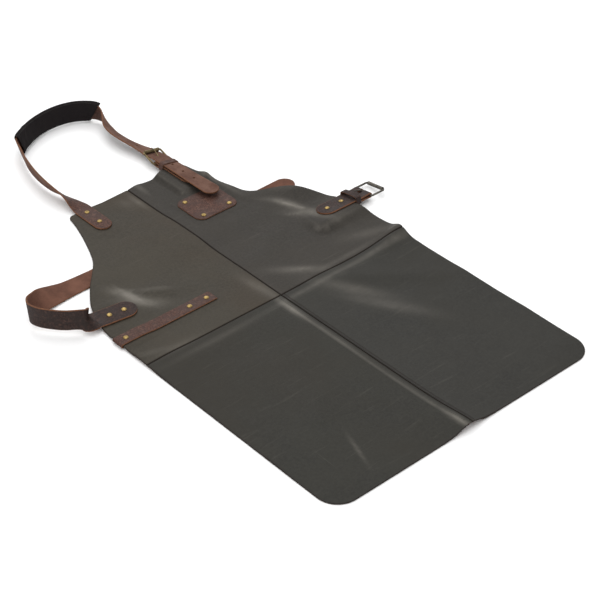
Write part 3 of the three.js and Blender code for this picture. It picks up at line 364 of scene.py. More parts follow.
class Finish(Tree):
    """a material's node tree"""

    def __init__(self, name):
        self.material = bpy.data.materials.new(name)
        self.material.use_nodes = True
        super().__init__(self.material.node_tree)
        self.nodes.clear()
        self.out = self.nodes.new("ShaderNodeOutputMaterial")
        self.shader = self.nodes.new("ShaderNodeBsdfPrincipled")
        self.links.new(self.shader.outputs[0], self.out.inputs[0])

    def coords(self, kind="Object"):
        n = self.nodes.new("ShaderNodeTexCoord")
        return Socket(self, n.outputs[kind])

    def mapped(self, vector, scale=(1, 1, 1), turn=(0, 0, 0), shift=(0, 0, 0)):
        return self.node("ShaderNodeMapping", {}, vector, shift, turn, scale)[0]

    def noise(self, vector, scale, detail=3.0, rough=0.5, warp=0.0):
        return self.node("ShaderNodeTexNoise", {}, Vector=vector, Scale=scale, Detail=detail,
                         Roughness=rough, Distortion=warp)[0]

    def cells(self, vector, scale, feature="F1", jitter=1.0):
        return self.node("ShaderNodeTexVoronoi", {"feature": feature}, Vector=vector, Scale=scale,
                         Randomness=jitter)[0]

    def attribute(self, name):
        return self.node("ShaderNodeAttribute", {"attribute_name": name})[2]

    def mix(self, factor, a, b):
        n = self.nodes.new("ShaderNodeMix")
        n.data_type = "RGBA"
        live = [s for s in n.inputs if s.enabled]
        for s, v in zip(live, (factor, a, b)):
            if isinstance(v, tuple) and len(v) == 3:
                v = (*v, 1)
            self.put(s, v)
        return Socket(self, next(s for s in n.outputs if s.enabled))

    def split(self, vector):
        return self.node("ShaderNodeSeparateXYZ", {}, vector)

    def bump(self, height, distance, strength=1.0, normal=None):
        return self.node("ShaderNodeBump", {}, Height=height, Distance=distance, Strength=strength,
                         Normal=normal)[0]

    def done(self, colour, rough, normal=None, metallic=0.0, coat=0.0, coat_rough=0.3, specular=None,
             sheen=0.0):
        put = lambda name, v: self.put(self.shader.inputs[name], (*v, 1) if isinstance(v, tuple) else v)
        put("Base Color", colour)
        put("Roughness", rough)
        put("Metallic", metallic)
        put("Coat Weight", coat)
        self.shader.inputs["Coat Roughness"].default_value = coat_rough
        if specular is not None:
            self.shader.inputs["Specular IOR Level"].default_value = specular
        if sheen:
            self.shader.inputs["Sheen Weight"].default_value = sheen
        if normal is not None:
            put("Normal", normal)
        return self.material


def srgb(*levels):
    """a colour from its 0 to 255 levels"""
    return tuple((v / 255) / 12.92 if v <= 10 else ((v / 255 + 0.055) / 1.055) ** 2.4 for v in levels)


def times(colour, factor):
    return tuple(v * factor for v in colour)


# ------------------------------------------------------------------ finishes
def panel_leather(name, base, warm, pale, seed):
    """waxed pull-up leather: clouded colour, paler where it is bent or scuffed, with painted highlights on ridges
    and beside the seams, fine grain
    """
    f = Finish(name)
    at = f.coords()
    place = f.mapped(at, shift=(seed * 3.1, seed * 1.7, 0))
    cloud = f.noise(place, 7.0, 5.0, 0.6, 0.4)
    patch = f.noise(place, 2.6, 3.0, 0.55, 0.6)
    fleck = f.noise(place, 90.0, 3.0, 0.6)
    colour = f.mix(cloud.band(0.34, 0.68), times(base, 0.84), times(base, 1.18))
    colour = f.mix(f.noise(place, 240.0, 4.0, 0.65).band(0.3, 0.7) * 0.5, colour, times(base, 1.5))
    colour = f.mix(patch.band(0.45, 0.72) * 0.55, colour, warm)
    streak = f.noise(f.mapped(place, scale=(3, 34, 3), turn=(0, 0, 0.6)), 4.0, 4.0, 0.65, 0.3)
    colour = f.mix(streak.band(0.56, 0.8) * 0.08, colour, pale)
    bend = f.attribute("bend")
    # paler where the leather is bent or scuffed, plus painted highlights on ridges, creases and beside the seams
    colour = f.mix((bend * (0.35 + 0.9 * fleck)).clamp() * 0.8, colour, pale)
    edge = f.attribute("edge")
    colour = f.mix(edge.band(0.2, 0.9), colour, srgb(38, 32, 28))
    scratch = f.noise(f.mapped(place, scale=(70, 2.2, 3), turn=(0, 0, -1.15)), 3.0, 2.0, 0.4)
    colour = f.mix(scratch.band(0.74, 0.8) * 0.07, colour, pale)
    pores = f.cells(at, 780.0, "DISTANCE_TO_EDGE")
    creases = f.cells(f.mapped(at, scale=(1, 1.4, 1)), 300.0, "DISTANCE_TO_EDGE")
    rough = 0.46 + 0.1 * cloud.band(0.3, 0.7) - 0.1 * bend.clamp() + 0.08 * fleck
    normal = f.bump(pores.band(0.0, 0.22), 0.00008, 0.55)
    normal = f.bump(creases.band(0.0, 0.1), 0.00012, 0.35, normal)
    normal = f.bump(f.noise(place, 34.0, 4.0, 0.55), 0.0009, 0.35, normal)
    return f.done(colour, rough, normal, specular=0.1)


def strap_leather(name, tone, dark, light, seed):
    """brown strap leather, darker towards its edges, with faint length-wise wear"""
    f = Finish(name)
    at = f.coords()
    uv = f.coords("UV")
    place = f.mapped(at, shift=(seed, seed * 2.3, 0))
    cloud = f.noise(place, 26.0, 5.0, 0.62, 0.5)
    fine = f.noise(place, 150.0, 4.0, 0.6)
    lines = f.noise(f.mapped(uv, scale=(20, 800, 1)), 1.0, 4.0, 0.6, 0.2)
    colour = f.mix(cloud.band(0.3, 0.72), dark, tone)
    colour = f.mix(fine.band(0.45, 0.75) * 0.5, colour, light)
    colour = f.mix(lines.band(0.52, 0.8) * 0.3, colour, light)
    rim = f.attribute("rim")
    colour = f.mix(rim.band(0.45, 1.0) * 0.35, colour, times(dark, 0.5))
    cracks = f.cells(f.mapped(at, scale=(1, 1.3, 1)), 210.0, "DISTANCE_TO_EDGE")
    lines_dark = 1 - cracks.band(0.0, 0.16)
    colour = f.mix(lines_dark * cloud.band(0.35, 0.6) * 0.7, colour, times(dark, 0.4))
    grain = f.cells(at, 620.0, "DISTANCE_TO_EDGE")
    folds = f.noise(f.mapped(uv, scale=(420, 90, 1)), 1.0, 3.0, 0.6)
    normal = f.bump(grain.band(0.0, 0.25), 0.0001, 0.6)
    normal = f.bump(cracks.band(0.0, 0.2), 0.00025, 0.6, normal)
    normal = f.bump(folds, 0.0005, 0.3, normal)
    normal = f.bump(cloud, 0.0012, 0.3, normal)
    rough = 0.46 + 0.16 * cloud.band(0.3, 0.7) + 0.06 * fine
    return f.done(colour, rough, normal, specular=0.2)


def flesh_leather(name, tone, dark, seed):
    """the fibrous flesh side"""
    f = Finish(name)
    at = f.coords()
    uv = f.coords("UV")
    fibre = f.noise(f.mapped(uv, scale=(120, 700, 1), shift=(seed, 0, 0)), 1.0, 5.0, 0.7, 1.2)
    cloud = f.noise(at, 38.0, 4.0, 0.6)
    colour = f.mix(cloud.band(0.3, 0.7), dark, tone)
    colour = f.mix(fibre.band(0.45, 0.75) * 0.4, colour, tuple(min(1, v * 1.35) for v in tone))
    normal = f.bump(fibre, 0.0004, 0.6)
    return f.done(colour, 0.82 + 0.1 * fibre, normal, specular=0.1)


def raw_edge(name, tone, dark):
    """the cut edge of a strap: layered fibre with a darker burnished line"""
    f = Finish(name)
    at = f.coords()
    fibre = f.noise(f.mapped(at, scale=(1, 1, 5)), 520.0, 4.0, 0.7)
    cloud = f.noise(at, 60.0, 3.0, 0.5)
    colour = f.mix(fibre.band(0.35, 0.7), dark, tone)
    colour = f.mix(cloud.band(0.35, 0.65) * 0.5, colour, times(tone, 0.7))
    return f.done(colour, 0.7 + 0.12 * fibre, f.bump(fibre, 0.0003, 0.5), specular=0.25)


def metal(name, tone, dark, rough, patina, scale=240.0):
    """worn plating, dulled and darker in patches"""
    f = Finish(name)
    at = f.coords()
    cloud = f.noise(at, scale, 4.0, 0.6, 0.5)
    fine = f.noise(at, scale * 6, 3.0, 0.6)
    worn = cloud.band(0.5 - patina * 0.5, 0.78)
    colour = f.mix(worn, tone, dark)
    hidden = f.attribute("recess")
    colour = f.mix(hidden.clamp() * 0.85, colour, times(dark, 0.35))
    roughness = rough + 0.22 * worn + 0.08 * fine
    return f.done(colour, roughness, f.bump(fine, 0.00006, 0.5), metallic=1.0 - 0.25 * worn)


def black_cloth(name):
    """plain-weave black cloth on the pad's UV map (metres along, metres round)"""
    f = Finish(name)
    uv = f.coords("UV")
    at = f.coords()
    u, v, _ = f.split(uv)
    def ribs(t, pitch):
        s = f.node("ShaderNodeMath", {"operation": "SINE"}, t * (2 * math.pi / pitch))[0]
        return s * 0.5 + 0.5
    warp = ribs(u, 0.0011)
    weft = ribs(v, 0.0011)
    weave = warp * weft + (1 - warp) * (1 - weft)
    cloud = f.noise(at, 30.0, 4.0, 0.6)
    lint = f.noise(at, 900.0, 2.0, 0.6)
    colour = f.mix(weave, srgb(20, 17, 18), srgb(32, 28, 29))
    colour = f.mix(cloud.band(0.3, 0.85) * 0.2, colour, srgb(44, 38, 37))
    colour = f.mix(lint.band(0.7, 0.84) * 0.2, colour, srgb(70, 64, 62))
    normal = f.bump(weave, 0.00025, 0.6)
    normal = f.bump(cloud, 0.0012, 0.25, normal)
    return f.done(colour, 0.86 + 0.08 * weave, normal, specular=0.12)


def waxed_thread(name):
    f = Finish(name)
    at = f.coords()
    twist = f.noise(f.mapped(at, turn=(0, 0, 0.7), scale=(1, 4, 1)), 900.0, 2.0, 0.5)
    colour = f.mix(twist, srgb(20, 18, 17), srgb(46, 42, 38))
    return f.done(colour, 0.55 + 0.15 * twist, f.bump(twist, 0.0001, 0.6), specular=0.35)


def floor_paint(name):
    f = Finish(name)
    at = f.coords()
    n = f.noise(at, 3.0, 3.0, 0.5)
    colour = f.mix(n, (0.93, 0.93, 0.93), (0.95, 0.95, 0.95))
    return f.done(colour, 0.9, specular=0.1)


# pale tone for streaks, scratches, pull-up paleness and painted highlights
PALE = srgb(128, 123, 115)
BIB_LEFT = panel_leather("panel_bib_left", srgb(55, 51, 44), srgb(62, 50, 38), PALE, 1)
BIB_RIGHT = panel_leather("panel_bib_right", srgb(50, 47, 43), srgb(52, 47, 41), PALE, 2)
SKIRT_LEFT = panel_leather("panel_skirt_left", srgb(43, 42, 38), srgb(46, 42, 36), PALE, 3)
SKIRT_RIGHT = panel_leather("panel_skirt_right", srgb(45, 44, 41), srgb(46, 44, 39), PALE, 4)
GRAIN = strap_leather("strap_grain", srgb(82, 54, 45), srgb(54, 35, 29), srgb(110, 80, 68), 1)
GRAIN_DARK = strap_leather("strap_grain_dark", srgb(50, 34, 30), srgb(33, 23, 20), srgb(82, 58, 50), 2)
FLESH = flesh_leather("strap_flesh", srgb(106, 74, 61), srgb(86, 59, 49), 1)
FLESH_WORN = flesh_leather("strap_flesh_worn", srgb(106, 80, 69), srgb(82, 58, 49), 2)
RAW = raw_edge("strap_raw_edge", srgb(128, 84, 56), srgb(66, 43, 33))
RIVET = metal("rivet_plate", srgb(188, 162, 104), srgb(104, 84, 46), 0.38, 0.6)
ANTIQUE = metal("antique_plate", srgb(150, 132, 96), srgb(62, 52, 38), 0.34, 0.75)
GUNMETAL = metal("gunmetal_plate", srgb(118, 114, 106), srgb(58, 54, 50), 0.34, 0.6)
CLOTH = black_cloth("pad_cloth")
THREAD = waxed_thread("seam_thread")
FILLING = flesh_leather("pad_filling", srgb(70, 70, 72), srgb(50, 50, 52), 3)


def give(obj, *materials):
    """sets an object's finishes; each face keeps the number of its own"""
    numbers = np.zeros(len(obj.data.polygons), np.int32)
    obj.data.polygons.foreach_get("material_index", numbers)
    obj.data.materials.clear()
    for m in materials:
        obj.data.materials.append(m)
    obj.data.polygons.foreach_set("material_index", np.minimum(numbers, len(materials) - 1))
    return obj


# ------------------------------------------------------------------ camera and light
CAMERA_AT = Vector((-1484.1, -1721.3, 1694.4))
AZIMUTH, ELEVATION = math.radians(-41.52587), math.radians(36.81348)
camera_data = bpy.data.cameras.new("camera")
camera_data.sensor_width = 36.0
camera_data.lens = 106.378
camera_data.clip_end = 50.0
camera = bpy.data.objects.new("camera", camera_data)
bpy.context.scene.collection.objects.link(camera)
back = Vector((math.sin(AZIMUTH) * math.cos(ELEVATION), -math.cos(AZIMUTH) * math.cos(ELEVATION),
               math.sin(ELEVATION)))
camera.location = (CAMERA_AT + OFFSET) / 1000
camera.rotation_euler = back.to_track_quat("Z", "Y").to_euler()
bpy.context.scene.camera = camera


def area_light(name, at, towards, size, power, colour=(1, 1, 1)):
    data = bpy.data.lights.new(name, "AREA")
    data.shape = "RECTANGLE"
    data.size, data.size_y = size
    data.energy = power
    data.color = colour
    light = bpy.data.objects.new(name, data)
    light.location = at
    light.rotation_euler = (Vector(at) - Vector(towards)).to_track_quat("Z", "Y").to_euler()
    bpy.context.scene.collection.objects.link(light)


area_light("key", (1.5, 2.3, 2.6), (0, 0.1, 0), (2.4, 1.8), 44)
area_light("top", (-0.5, 0.4, 3.2), (0, 0, 0), (3.6, 3.2), 44)
area_light("fill", (-2.6, -1.2, 1.6), (0, 0, 0), (2.4, 1.6), 14)
world = bpy.data.worlds.new("studio")
world.use_nodes = True
world.node_tree.nodes["Background"].inputs[0].default_value = (1, 1, 1, 1)
world.node_tree.nodes["Background"].inputs[1].default_value = 0.82
bpy.context.scene.world = world
bpy.context.scene.view_settings.view_transform = "Standard"
bpy.context.scene.view_settings.look = "None"

floor_mesh = bpy.data.meshes.new("floor")
floor_mesh.from_pydata([(-9, -9, 0), (9, -9, 0), (9, 9, 0), (-9, 9, 0)], [], [(0, 1, 2, 3)])
floor = bpy.data.objects.new("floor", floor_mesh)
floor.data.materials.append(floor_paint("floor_paint"))
floor.location.z = -0.0004
bpy.context.scene.collection.objects.link(floor)


# ------------------------------------------------------------------ the four panels
def flank_curve():
    """(y, x) down the half outline of the bib, y rising from the waist seam"""
    w, flank, top, corner = APRON_HALF_WIDTH, 85.0, BIB_TOP_HALF_WIDTH, BIB_CORNER_RADIUS
    knots = [(w, flank), (w - 5, flank + 40), (w - 22, flank + 87), (w - 50, flank + 129),
             (w - 77, flank + 160), (w - 95, flank + 182), (top + 36, BIB_LENGTH - 114),
             (top + 19, BIB_LENGTH - 71), (top + 7, BIB_LENGTH - 34), (top + 1, BIB_LENGTH - corner)]
    pts = [(w, 0.0)] + [tuple(p) for p in catmull(knots, 200, False)]
    for i in range(1, 13):
        t = i / 12
        pts.append(((1 - t) ** 2 * (top + 1) + 2 * t * (1 - t) * top + t * t * (top - corner),
                    (1 - t) ** 2 * (BIB_LENGTH - corner) + (1 - (1 - t) ** 2) * BIB_LENGTH))
    pts = np.array(pts)
    return pts[:, 1], pts[:, 0]


FLANK_Y, FLANK_X = flank_curve()


def half_width(y):
    """half width of the apron at a height y"""
    if y >= 0:
        return float(np.interp(y, FLANK_Y, FLANK_X))
    up = y + SKIRT_LENGTH
    if up >= HEM_CORNER_RADIUS:
        return APRON_HALF_WIDTH
    r = HEM_CORNER_RADIUS
    return APRON_HALF_WIDTH - r + math.sqrt(max(0.0, r * r - (r - up) ** 2))


NEAR_SEAM = [0.0, 0.35, 0.8, 1.4, 2.2, 3.1, 3.9, 4.8, 5.7, 6.8, 9.0, 12.0, 16.0]
CELL = 4.5


def rows_from_seam(end):
    out = list(NEAR_SEAM)
    n = max(1, round((end - out[-1]) / CELL))
    out += [out[-1] + (end - out[-1]) * (k + 1) / n for k in range(n)]
    return out


def lie(x, y):
    """leather_height with the steps beside the seams and over the waist strap spread wide"""
    x, y = np.asarray(x, float), np.asarray(y, float)
    h = leather_height(x, y)
    free = hardware_free(x, y)

    def far(d, a, b):
        return ease(a, b, np.abs(d))
    step = 2.0 * (1 - far(x, 10, 28) * far(y, 10, 28))
    soft = 2.0 * (1 - far(x, 4, 85) * far(y, 4, 85))
    half = WAIST_STRAP_WIDTH / 2 + 2
    ridge = LIFT_OVER_WAIST_STRAP * windowed(y, WAIST_RUN_Y - half, WAIST_RUN_Y + half, 26)
    spread = LIFT_OVER_WAIST_STRAP * windowed(y, WAIST_RUN_Y - half, WAIST_RUN_Y + half, 60)
    calmer = 1.6 * swell(x, y, (90, 130), (90, 20), 1.0, 24)
    return h + (soft - step + spread - ridge - calmer) * free


def visual_height(x, y, side, lower):
    """top of the leather: the lie of the panel with small ripples and swells"""
    h = lie(x, y) + PANEL_THICKNESS
    free = hardware_free(x, y)
    ripple = np.array([
        noise.noise(Vector((a * 0.013, b * 0.013, 3.0 + side))) * 1.1
        + noise.noise(Vector((a * 0.04, b * 0.03, 9.0 + side))) * 0.32
        for a, b in zip(np.ravel(x), np.ravel(y))]).reshape(np.shape(x))
    off = ease(10, 34, np.abs(x)) * ease(10, 30, np.abs(y))
    h = h + np.maximum(ripple, -0.3) * free * off
    h = h + 1.2 * free * swell(x, y, (190, 128), (30, 6), 1.0, -66)
    h = h + 1.3 * free * swell(x, y, (183, 180), (34, 5.5), 1.0, -60)
    h = h + 0.9 * free * swell(x, y, (170, 160), (26, 5), 1.0, -34)
    h = h + 1.4 * free * swell(x, y, (-186, 150), (44, 7), 1.0, -88)
    h = h + 1.1 * swell(x, y, (68, 32), (44, 9), 1.0, -38) * off
    h = h + 1.2 * swell(x, y, (97, -120), (90, 12), 1.0, -60) * off
    if lower and side < 0:
        h = h + 0.6 * windowed(x, -14, -12, 4) * ease(-20, -60, y)
    return h


# pale marks (place, spread, amount, turn) in garment millimetres: real scuffs, and painted highlights on ridges,
# creases and along the seams
SCUFFS_AND_HIGHLIGHTS = [
    ((-186, 158), (30, 9), 0.8, -68), ((-178, 132), (34, 12), 0.5, -40),
    ((182, 186), (34, 8), 0.75, -64), ((194, 140), (40, 10), 0.5, -48), ((204, 112), (22, 8), 0.35, -70),
    ((-13, 36), (10, 40), 0.32, 6), ((-9, 366), (5, 26), 0.3, 0), ((-26, 374), (12, 18), 0.14, 30),
    ((-12, -38), (6, 30), 0.8, 0), ((-9, -130), (3, 70), 0.35, 0), ((-9, -330), (3, 100), 0.25, 0),
    ((-11, -SKIRT_LENGTH + 18), (5, 22), 0.5, 0),
    ((68, 32), (44, 10), 0.4, -38), ((97, -60), (60, 12), 0.3, -58), ((112, -130), (70, 14), 0.25, -60),
    ((60, -16), (80, 5), 0.3, 0), ((190, -14), (70, 5), 0.3, 0), ((150, 10), (60, 5), 0.2, 0),
    ((-160, -350), (3, 30), 0.3, -18), ((-140, -20), (90, 6), 0.18, 0), ((-210, 4), (40, 8), 0.2, 0),
    ((225, 34), (46, 12), 0.22, -20), ((250, -10), (30, 8), 0.25, 0),
]


def panel(name, node, side, upper, material):
    seam = SEAM_GAP / 2 - 0.25
    if upper:
        ys = [seam + v for v in rows_from_seam(BIB_LENGTH - 8 - seam)]
        ys += [BIB_LENGTH - v for v in (6, 4.2, 2.8, 1.6, 0.8, 0.3, 0.0)]
    else:
        ys = [-seam - v for v in rows_from_seam(SKIRT_LENGTH - HEM_CORNER_RADIUS - seam)]
        ys += [-SKIRT_LENGTH + HEM_CORNER_RADIUS * (1 - math.sin(math.radians(a)))
               for a in (7, 14, 21, 28, 36, 44, 52, 60, 68, 75, 81, 86, 90)]
    near = [seam + v for v in NEAR_SEAM]
    n_far = round((APRON_HALF_WIDTH - near[-1]) / CELL)
    X, Y = [], []
    for y in ys:
        edge = half_width(y)
        row = near + [near[-1] + (edge - near[-1]) * (k + 1) / n_far for k in range(n_far)]
        X.append(row)
        Y.append([y] * len(row))
    X, Y = np.array(X), np.array(Y)
    SX = X * side
    top = visual_height(SX, Y, side, not upper)
    # the seam edges turn down into the groove
    turn = 2.6
    for d in (X - seam, np.abs(Y) - seam):
        inside = np.clip(d / turn, 0, 1)
        top = top - 1.9 * (1 - np.sqrt(np.clip(1 - (1 - inside) ** 2, 0, 1)))
    if not upper and side > 0:
        top = top - 0.8 * (1 - ease(0.2, 1.8, np.abs(X - 5.2)))
    low = leather_height(SX, Y) + 0.0
    low = np.minimum(low, top - 0.8)
    shape = X.shape
    LX = laid_x(SX, Y)
    wavy = 0.35 * np.array([noise.noise(Vector((a * 0.05, b * 0.05, side))) for a, b in
                            zip(SX.ravel(), Y.ravel())]).reshape(shape)
    rim = np.zeros(shape)
    rim[:, -1] = 1
    if upper:
        rim[-1, :] = 1
    else:
        rim[-1, :] = 1
    # top and bottom faces, with a rounded cut edge between them
    pts_top = np.stack([LX + wavy * rim * 0.6, Y, top], 2).reshape(-1, 3)
    pts_low = np.stack([LX + wavy * rim * 0.6, Y, low], 2).reshape(-1, 3)
    nr, nc = shape
    idx = np.arange(nr * nc).reshape(shape)
    loop = list(idx[0, :]) + list(idx[1:, -1]) + list(idx[-1, -2::-1]) + list(idx[-2:0:-1, 0])
    verts = [pts_top]
    base = nr * nc
    ring_count = 0
    centre = pts_top[loop]
    nxt, prv = np.roll(centre, -1, 0), np.roll(centre, 1, 0)
    tangent = (nxt - prv)[:, :2]
    tangent /= np.maximum(np.linalg.norm(tangent, axis=1)[:, None], 1e-6)
    out2 = np.stack([tangent[:, 1], -tangent[:, 0]], 1)
    area = 0.5 * np.sum(centre[:, 0] * nxt[:, 1] - nxt[:, 0] * centre[:, 1])
    if area < 0:
        out2 = -out2
    thick = (pts_top[loop][:, 2] - pts_low[loop][:, 2])
    for share, push in ((0.16, 0.32), (0.42, 0.45), (0.7, 0.42), (0.9, 0.22)):
        ring = pts_top[loop].copy()
        ring[:, 2] -= thick * share
        ring[:, :2] += out2 * push
        verts.append(ring)
        ring_count += 1
    verts.append(pts_low)
    all_points = np.vstack(verts)
    n_loop = len(loop)
    faces = []
    for i in range(nr - 1):
        for j in range(nc - 1):
            a, b, c, d = idx[i, j], idx[i, j + 1], idx[i + 1, j + 1], idx[i + 1, j]
            faces.append((a, b, c, d))
    low_base = base + ring_count * n_loop
    for i in range(nr - 1):
        for j in range(nc - 1):
            a, b, c, d = idx[i, j], idx[i + 1, j], idx[i + 1, j + 1], idx[i, j + 1]
            faces.append((low_base + a, low_base + b, low_base + c, low_base + d))
    rows = [list(loop)]
    rows += [list(range(base + r * n_loop, base + (r + 1) * n_loop)) for r in range(ring_count)]
    rows.append([low_base + v for v in loop])
    for r in range(len(rows) - 1):
        for k in range(n_loop):
            l = (k + 1) % n_loop
            faces.append((rows[r][k], rows[r + 1][k], rows[r + 1][l], rows[r][l]))
    obj = mesh_object(name, all_points, faces)
    # scuffs and painted highlights from the mark list, plus how sharply the face is bent upwards: pull-up
    # paleness with a painted highlight on the ridges
    bend = np.zeros(shape)
    for at, spread, amount, turn in SCUFFS_AND_HIGHLIGHTS:
        bend = bend + swell(SX, Y, at, spread, amount, turn)
    s = 6.0
    curl = np.zeros(shape)
    h0 = visual_height(SX, Y, side, not upper)
    for dx, dy in ((s, 0), (0, s)):
        h1 = visual_height(SX + dx, Y + dy, side, not upper)
        h2 = visual_height(SX - dx, Y - dy, side, not upper)
        curl = np.maximum(curl, (2 * h0 - h1 - h2) / (s * s))
    curl = np.clip(curl * 14 - 0.12, 0, 0.35) * hardware_free(SX, Y)
    curl = curl * ease(6, 16, np.abs(Y)) * ease(6, 16, np.abs(X))
    bend = np.clip(bend + curl, 0, 1)
    dark = np.maximum(1 - ease(0.6, 2.4, X - seam), 1 - ease(0.6, 2.4, np.abs(Y) - seam)) * 0.75
    if not upper and side > 0:
        dark = np.maximum(dark, 0.7 * (1 - ease(0.5, 1.6, np.abs(X - 5.2))))
    dark = np.maximum(dark, rim * 0.55)
    edge = np.concatenate([dark.ravel(), np.ones(ring_count * n_loop), np.zeros(base)])
    add_value(obj, "bend", np.concatenate([bend.ravel(), np.zeros(ring_count * n_loop), np.zeros(base)]))
    add_value(obj, "edge", edge)
    outward(obj)
    give(obj, material, FLESH)
    for poly in obj.data.polygons:
        if poly.normal.z < -0.5:
            poly.material_index = 1
    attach(obj, "apron")
    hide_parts(node)
    return obj


panel("bib_left", "bib_left_panel", -1, True, BIB_LEFT)
panel("bib_right", "bib_right_panel", 1, True, BIB_RIGHT)
panel("skirt_left", "skirt_left_panel", -1, False, SKIRT_LEFT)
panel("skirt_right", "skirt_right_panel", 1, False, SKIRT_RIGHT)


# ------------------------------------------------------------------ straps
def rounded_half(distance, radius):
    short = np.clip(radius - distance, 0, radius)
    return np.sqrt(np.maximum(radius * radius - short * short, (radius * 0.1) ** 2))


def strap_mesh(name, frames, width, thickness, round_start=False, round_end=False, sway=0.25, seed=0.0):
    """a strap with eased corners: grain face first, then the cut edge, then the flesh face"""
    half, hw0 = thickness / 2, width / 2
    d = frames["distance"]
    total = frames["length"]
    hw = np.full(len(d), hw0)
    if round_start:
        hw = np.minimum(hw, rounded_half(d, hw0))
    if round_end:
        hw = np.minimum(hw, rounded_half(total - d, hw0))
    cross = []
    lanes = [-1, -0.94, -0.8, -0.55, -0.28, 0, 0.28, 0.55, 0.8, 0.94, 1]
    for a in lanes:
        inset = 0.35 if abs(a) == 1 else 0.0
        rise = half - (0.35 if abs(a) == 1 else (0.08 if abs(a) == 0.94 else 0))
        cross.append((a, inset, rise))
    cross.append((1, 0.0, half * 0.35))
    cross.append((1, 0.0, -half * 0.35))
    for a in lanes[::-1]:
        inset = 0.3 if abs(a) == 1 else 0.0
        rise = -half + (0.3 if abs(a) == 1 else 0)
        cross.append((a, inset, rise))
    cross.append((-1, 0.0, -half * 0.35))
    cross.append((-1, 0.0, half * 0.35))
    n = len(cross)
    verts, uvs, rims = [], [], []
    for i in range(len(d)):
        w = hw[i] + sway * 0.5 * noise.noise(Vector((d[i] * 0.03, seed, 0)))
        for a, inset, rise in cross:
            across = a * w - math.copysign(inset, a) if a else 0.0
            verts.append(frames["at"][i] + frames["across"][i] * across + frames["normal"][i] * rise)
            uvs.append((d[i] / 1000, across / 1000))
            rims.append(abs(a) ** 6)
    faces = ring_faces(len(d), n)
    faces.append(tuple(range(n))[::-1])
    faces.append(tuple(range((len(d) - 1) * n, len(d) * n)))
    obj = mesh_object(name, verts, faces)
    add_uv(obj, uvs)
    add_value(obj, "rim", rims)
    parts = [2] + [0] * (len(lanes) - 3) + [2] * 5 + [1] * (len(lanes) - 3) + [2] * 4
    for k, poly in enumerate(obj.data.polygons):
        poly.material_index = parts[k % n] if k < (len(d) - 1) * n else 2
    bm = bmesh.new()
    bm.from_mesh(obj.data)
    bmesh.ops.recalc_face_normals(bm, faces=bm.faces)
    bm.to_mesh(obj.data)
    bm.free()
    return obj


ROUND_END_PLACES = (0.02, 0.1, 0.35, 0.8, 1.5, 2.5, 3.8, 5.4, 7.4, 9.8, 12.5)    # from a rounded tip


def fine_ends(stations, step, width, round_start, round_end):
    """frames with closer places where an end is rounded"""
    frames = strap_frames(stations, 0.5)
    total = frames["length"]
    radius = width / 2
    close = [m for m in ROUND_END_PLACES if m < radius]
    marks = close[:] if round_start else []
    start = marks[-1] + step if marks else 0.0
    tail = close if round_end else []
    end = total - (tail[-1] + step if tail else 0.0)
    count = max(2, round((end - start) / step))
    marks += list(np.linspace(start, end, count + 1))
    marks += [total - m for m in tail[::-1]]
    marks = np.array(marks)
    out = {"distance": marks, "length": total}
    for key in ("at", "along", "across", "normal"):
        columns = [np.interp(marks, frames["distance"], frames[key][:, k]) for k in range(3)]
        out[key] = np.stack(columns, 1)
    for key in ("along", "across", "normal"):
        out[key] /= np.linalg.norm(out[key], axis=1)[:, None]
    return out


class Tilted:
    """a plane lying on the apron: local X along heading, Z out of the plane"""

    def __init__(self, x, y, z, heading, roll):
        rot = Matrix.Rotation(math.radians(heading), 4, "Z") @ Matrix.Rotation(math.radians(roll), 4, "X")
        self.matrix = Matrix.Translation((x, y, z)) @ rot

    def point(self, x, y, z):
        return self.matrix @ Vector((x, y, z))


NECK = Tilted(NECK_BUCKLE_X, NECK_BAR_Y, NECK_TAB_HEIGHT, 90, NECK_TAB_ROLL)
WAIST = Tilted(WAIST_BAR_X, WAIST_BUCKLE_Y, WAIST_TAB_HEIGHT, 0, WAIST_TAB_ROLL)

WIRE = 3.6
ROLLER_WALL = 1.3
NECK_STRAP_WIDTH, NECK_STRAP_THICKNESS = 32.0, 2.6
NECK_FRAME_LENGTH, WAIST_FRAME_LENGTH = 33.0, 30.0
NECK_FRAME_TILT = 15.0
CAP_HEIGHT = 1.5
neck_half = PANEL_THICKNESS / 2 + CLEARANCE + NECK_STRAP_THICKNESS / 2
neck_fold = WIRE / 2 + CLEARANCE + NECK_STRAP_THICKNESS / 2
neck_tab_top = neck_half + NECK_STRAP_THICKNESS / 2
strap_on_rivets = neck_tab_top + 2 * CLEARANCE + CAP_HEIGHT + NECK_STRAP_THICKNESS / 2
strap_over_fold = neck_fold + NECK_STRAP_THICKNESS + CLEARANCE
strap_in_keeper = (strap_over_fold + strap_on_rivets) / 2
roller_radius = WIRE / 2 + CLEARANCE + ROLLER_WALL
ROLLER_AT = (math.cos(math.radians(NECK_FRAME_TILT)) * NECK_FRAME_LENGTH,
             math.sin(math.radians(NECK_FRAME_TILT)) * NECK_FRAME_LENGTH)
strap_under_roller = ROLLER_AT[1] - roller_radius - CLEARANCE - NECK_STRAP_THICKNESS / 2
neck_left_z = (float(leather_height(NECK_LEFT_X, 360)) + PANEL_THICKNESS
               + CLEARANCE + NECK_STRAP_THICKNESS / 2)


def on_neck(x, z, roll):
    p = NECK.point(x, 0, z)
    return (p.x, p.y, p.z, roll - 180)


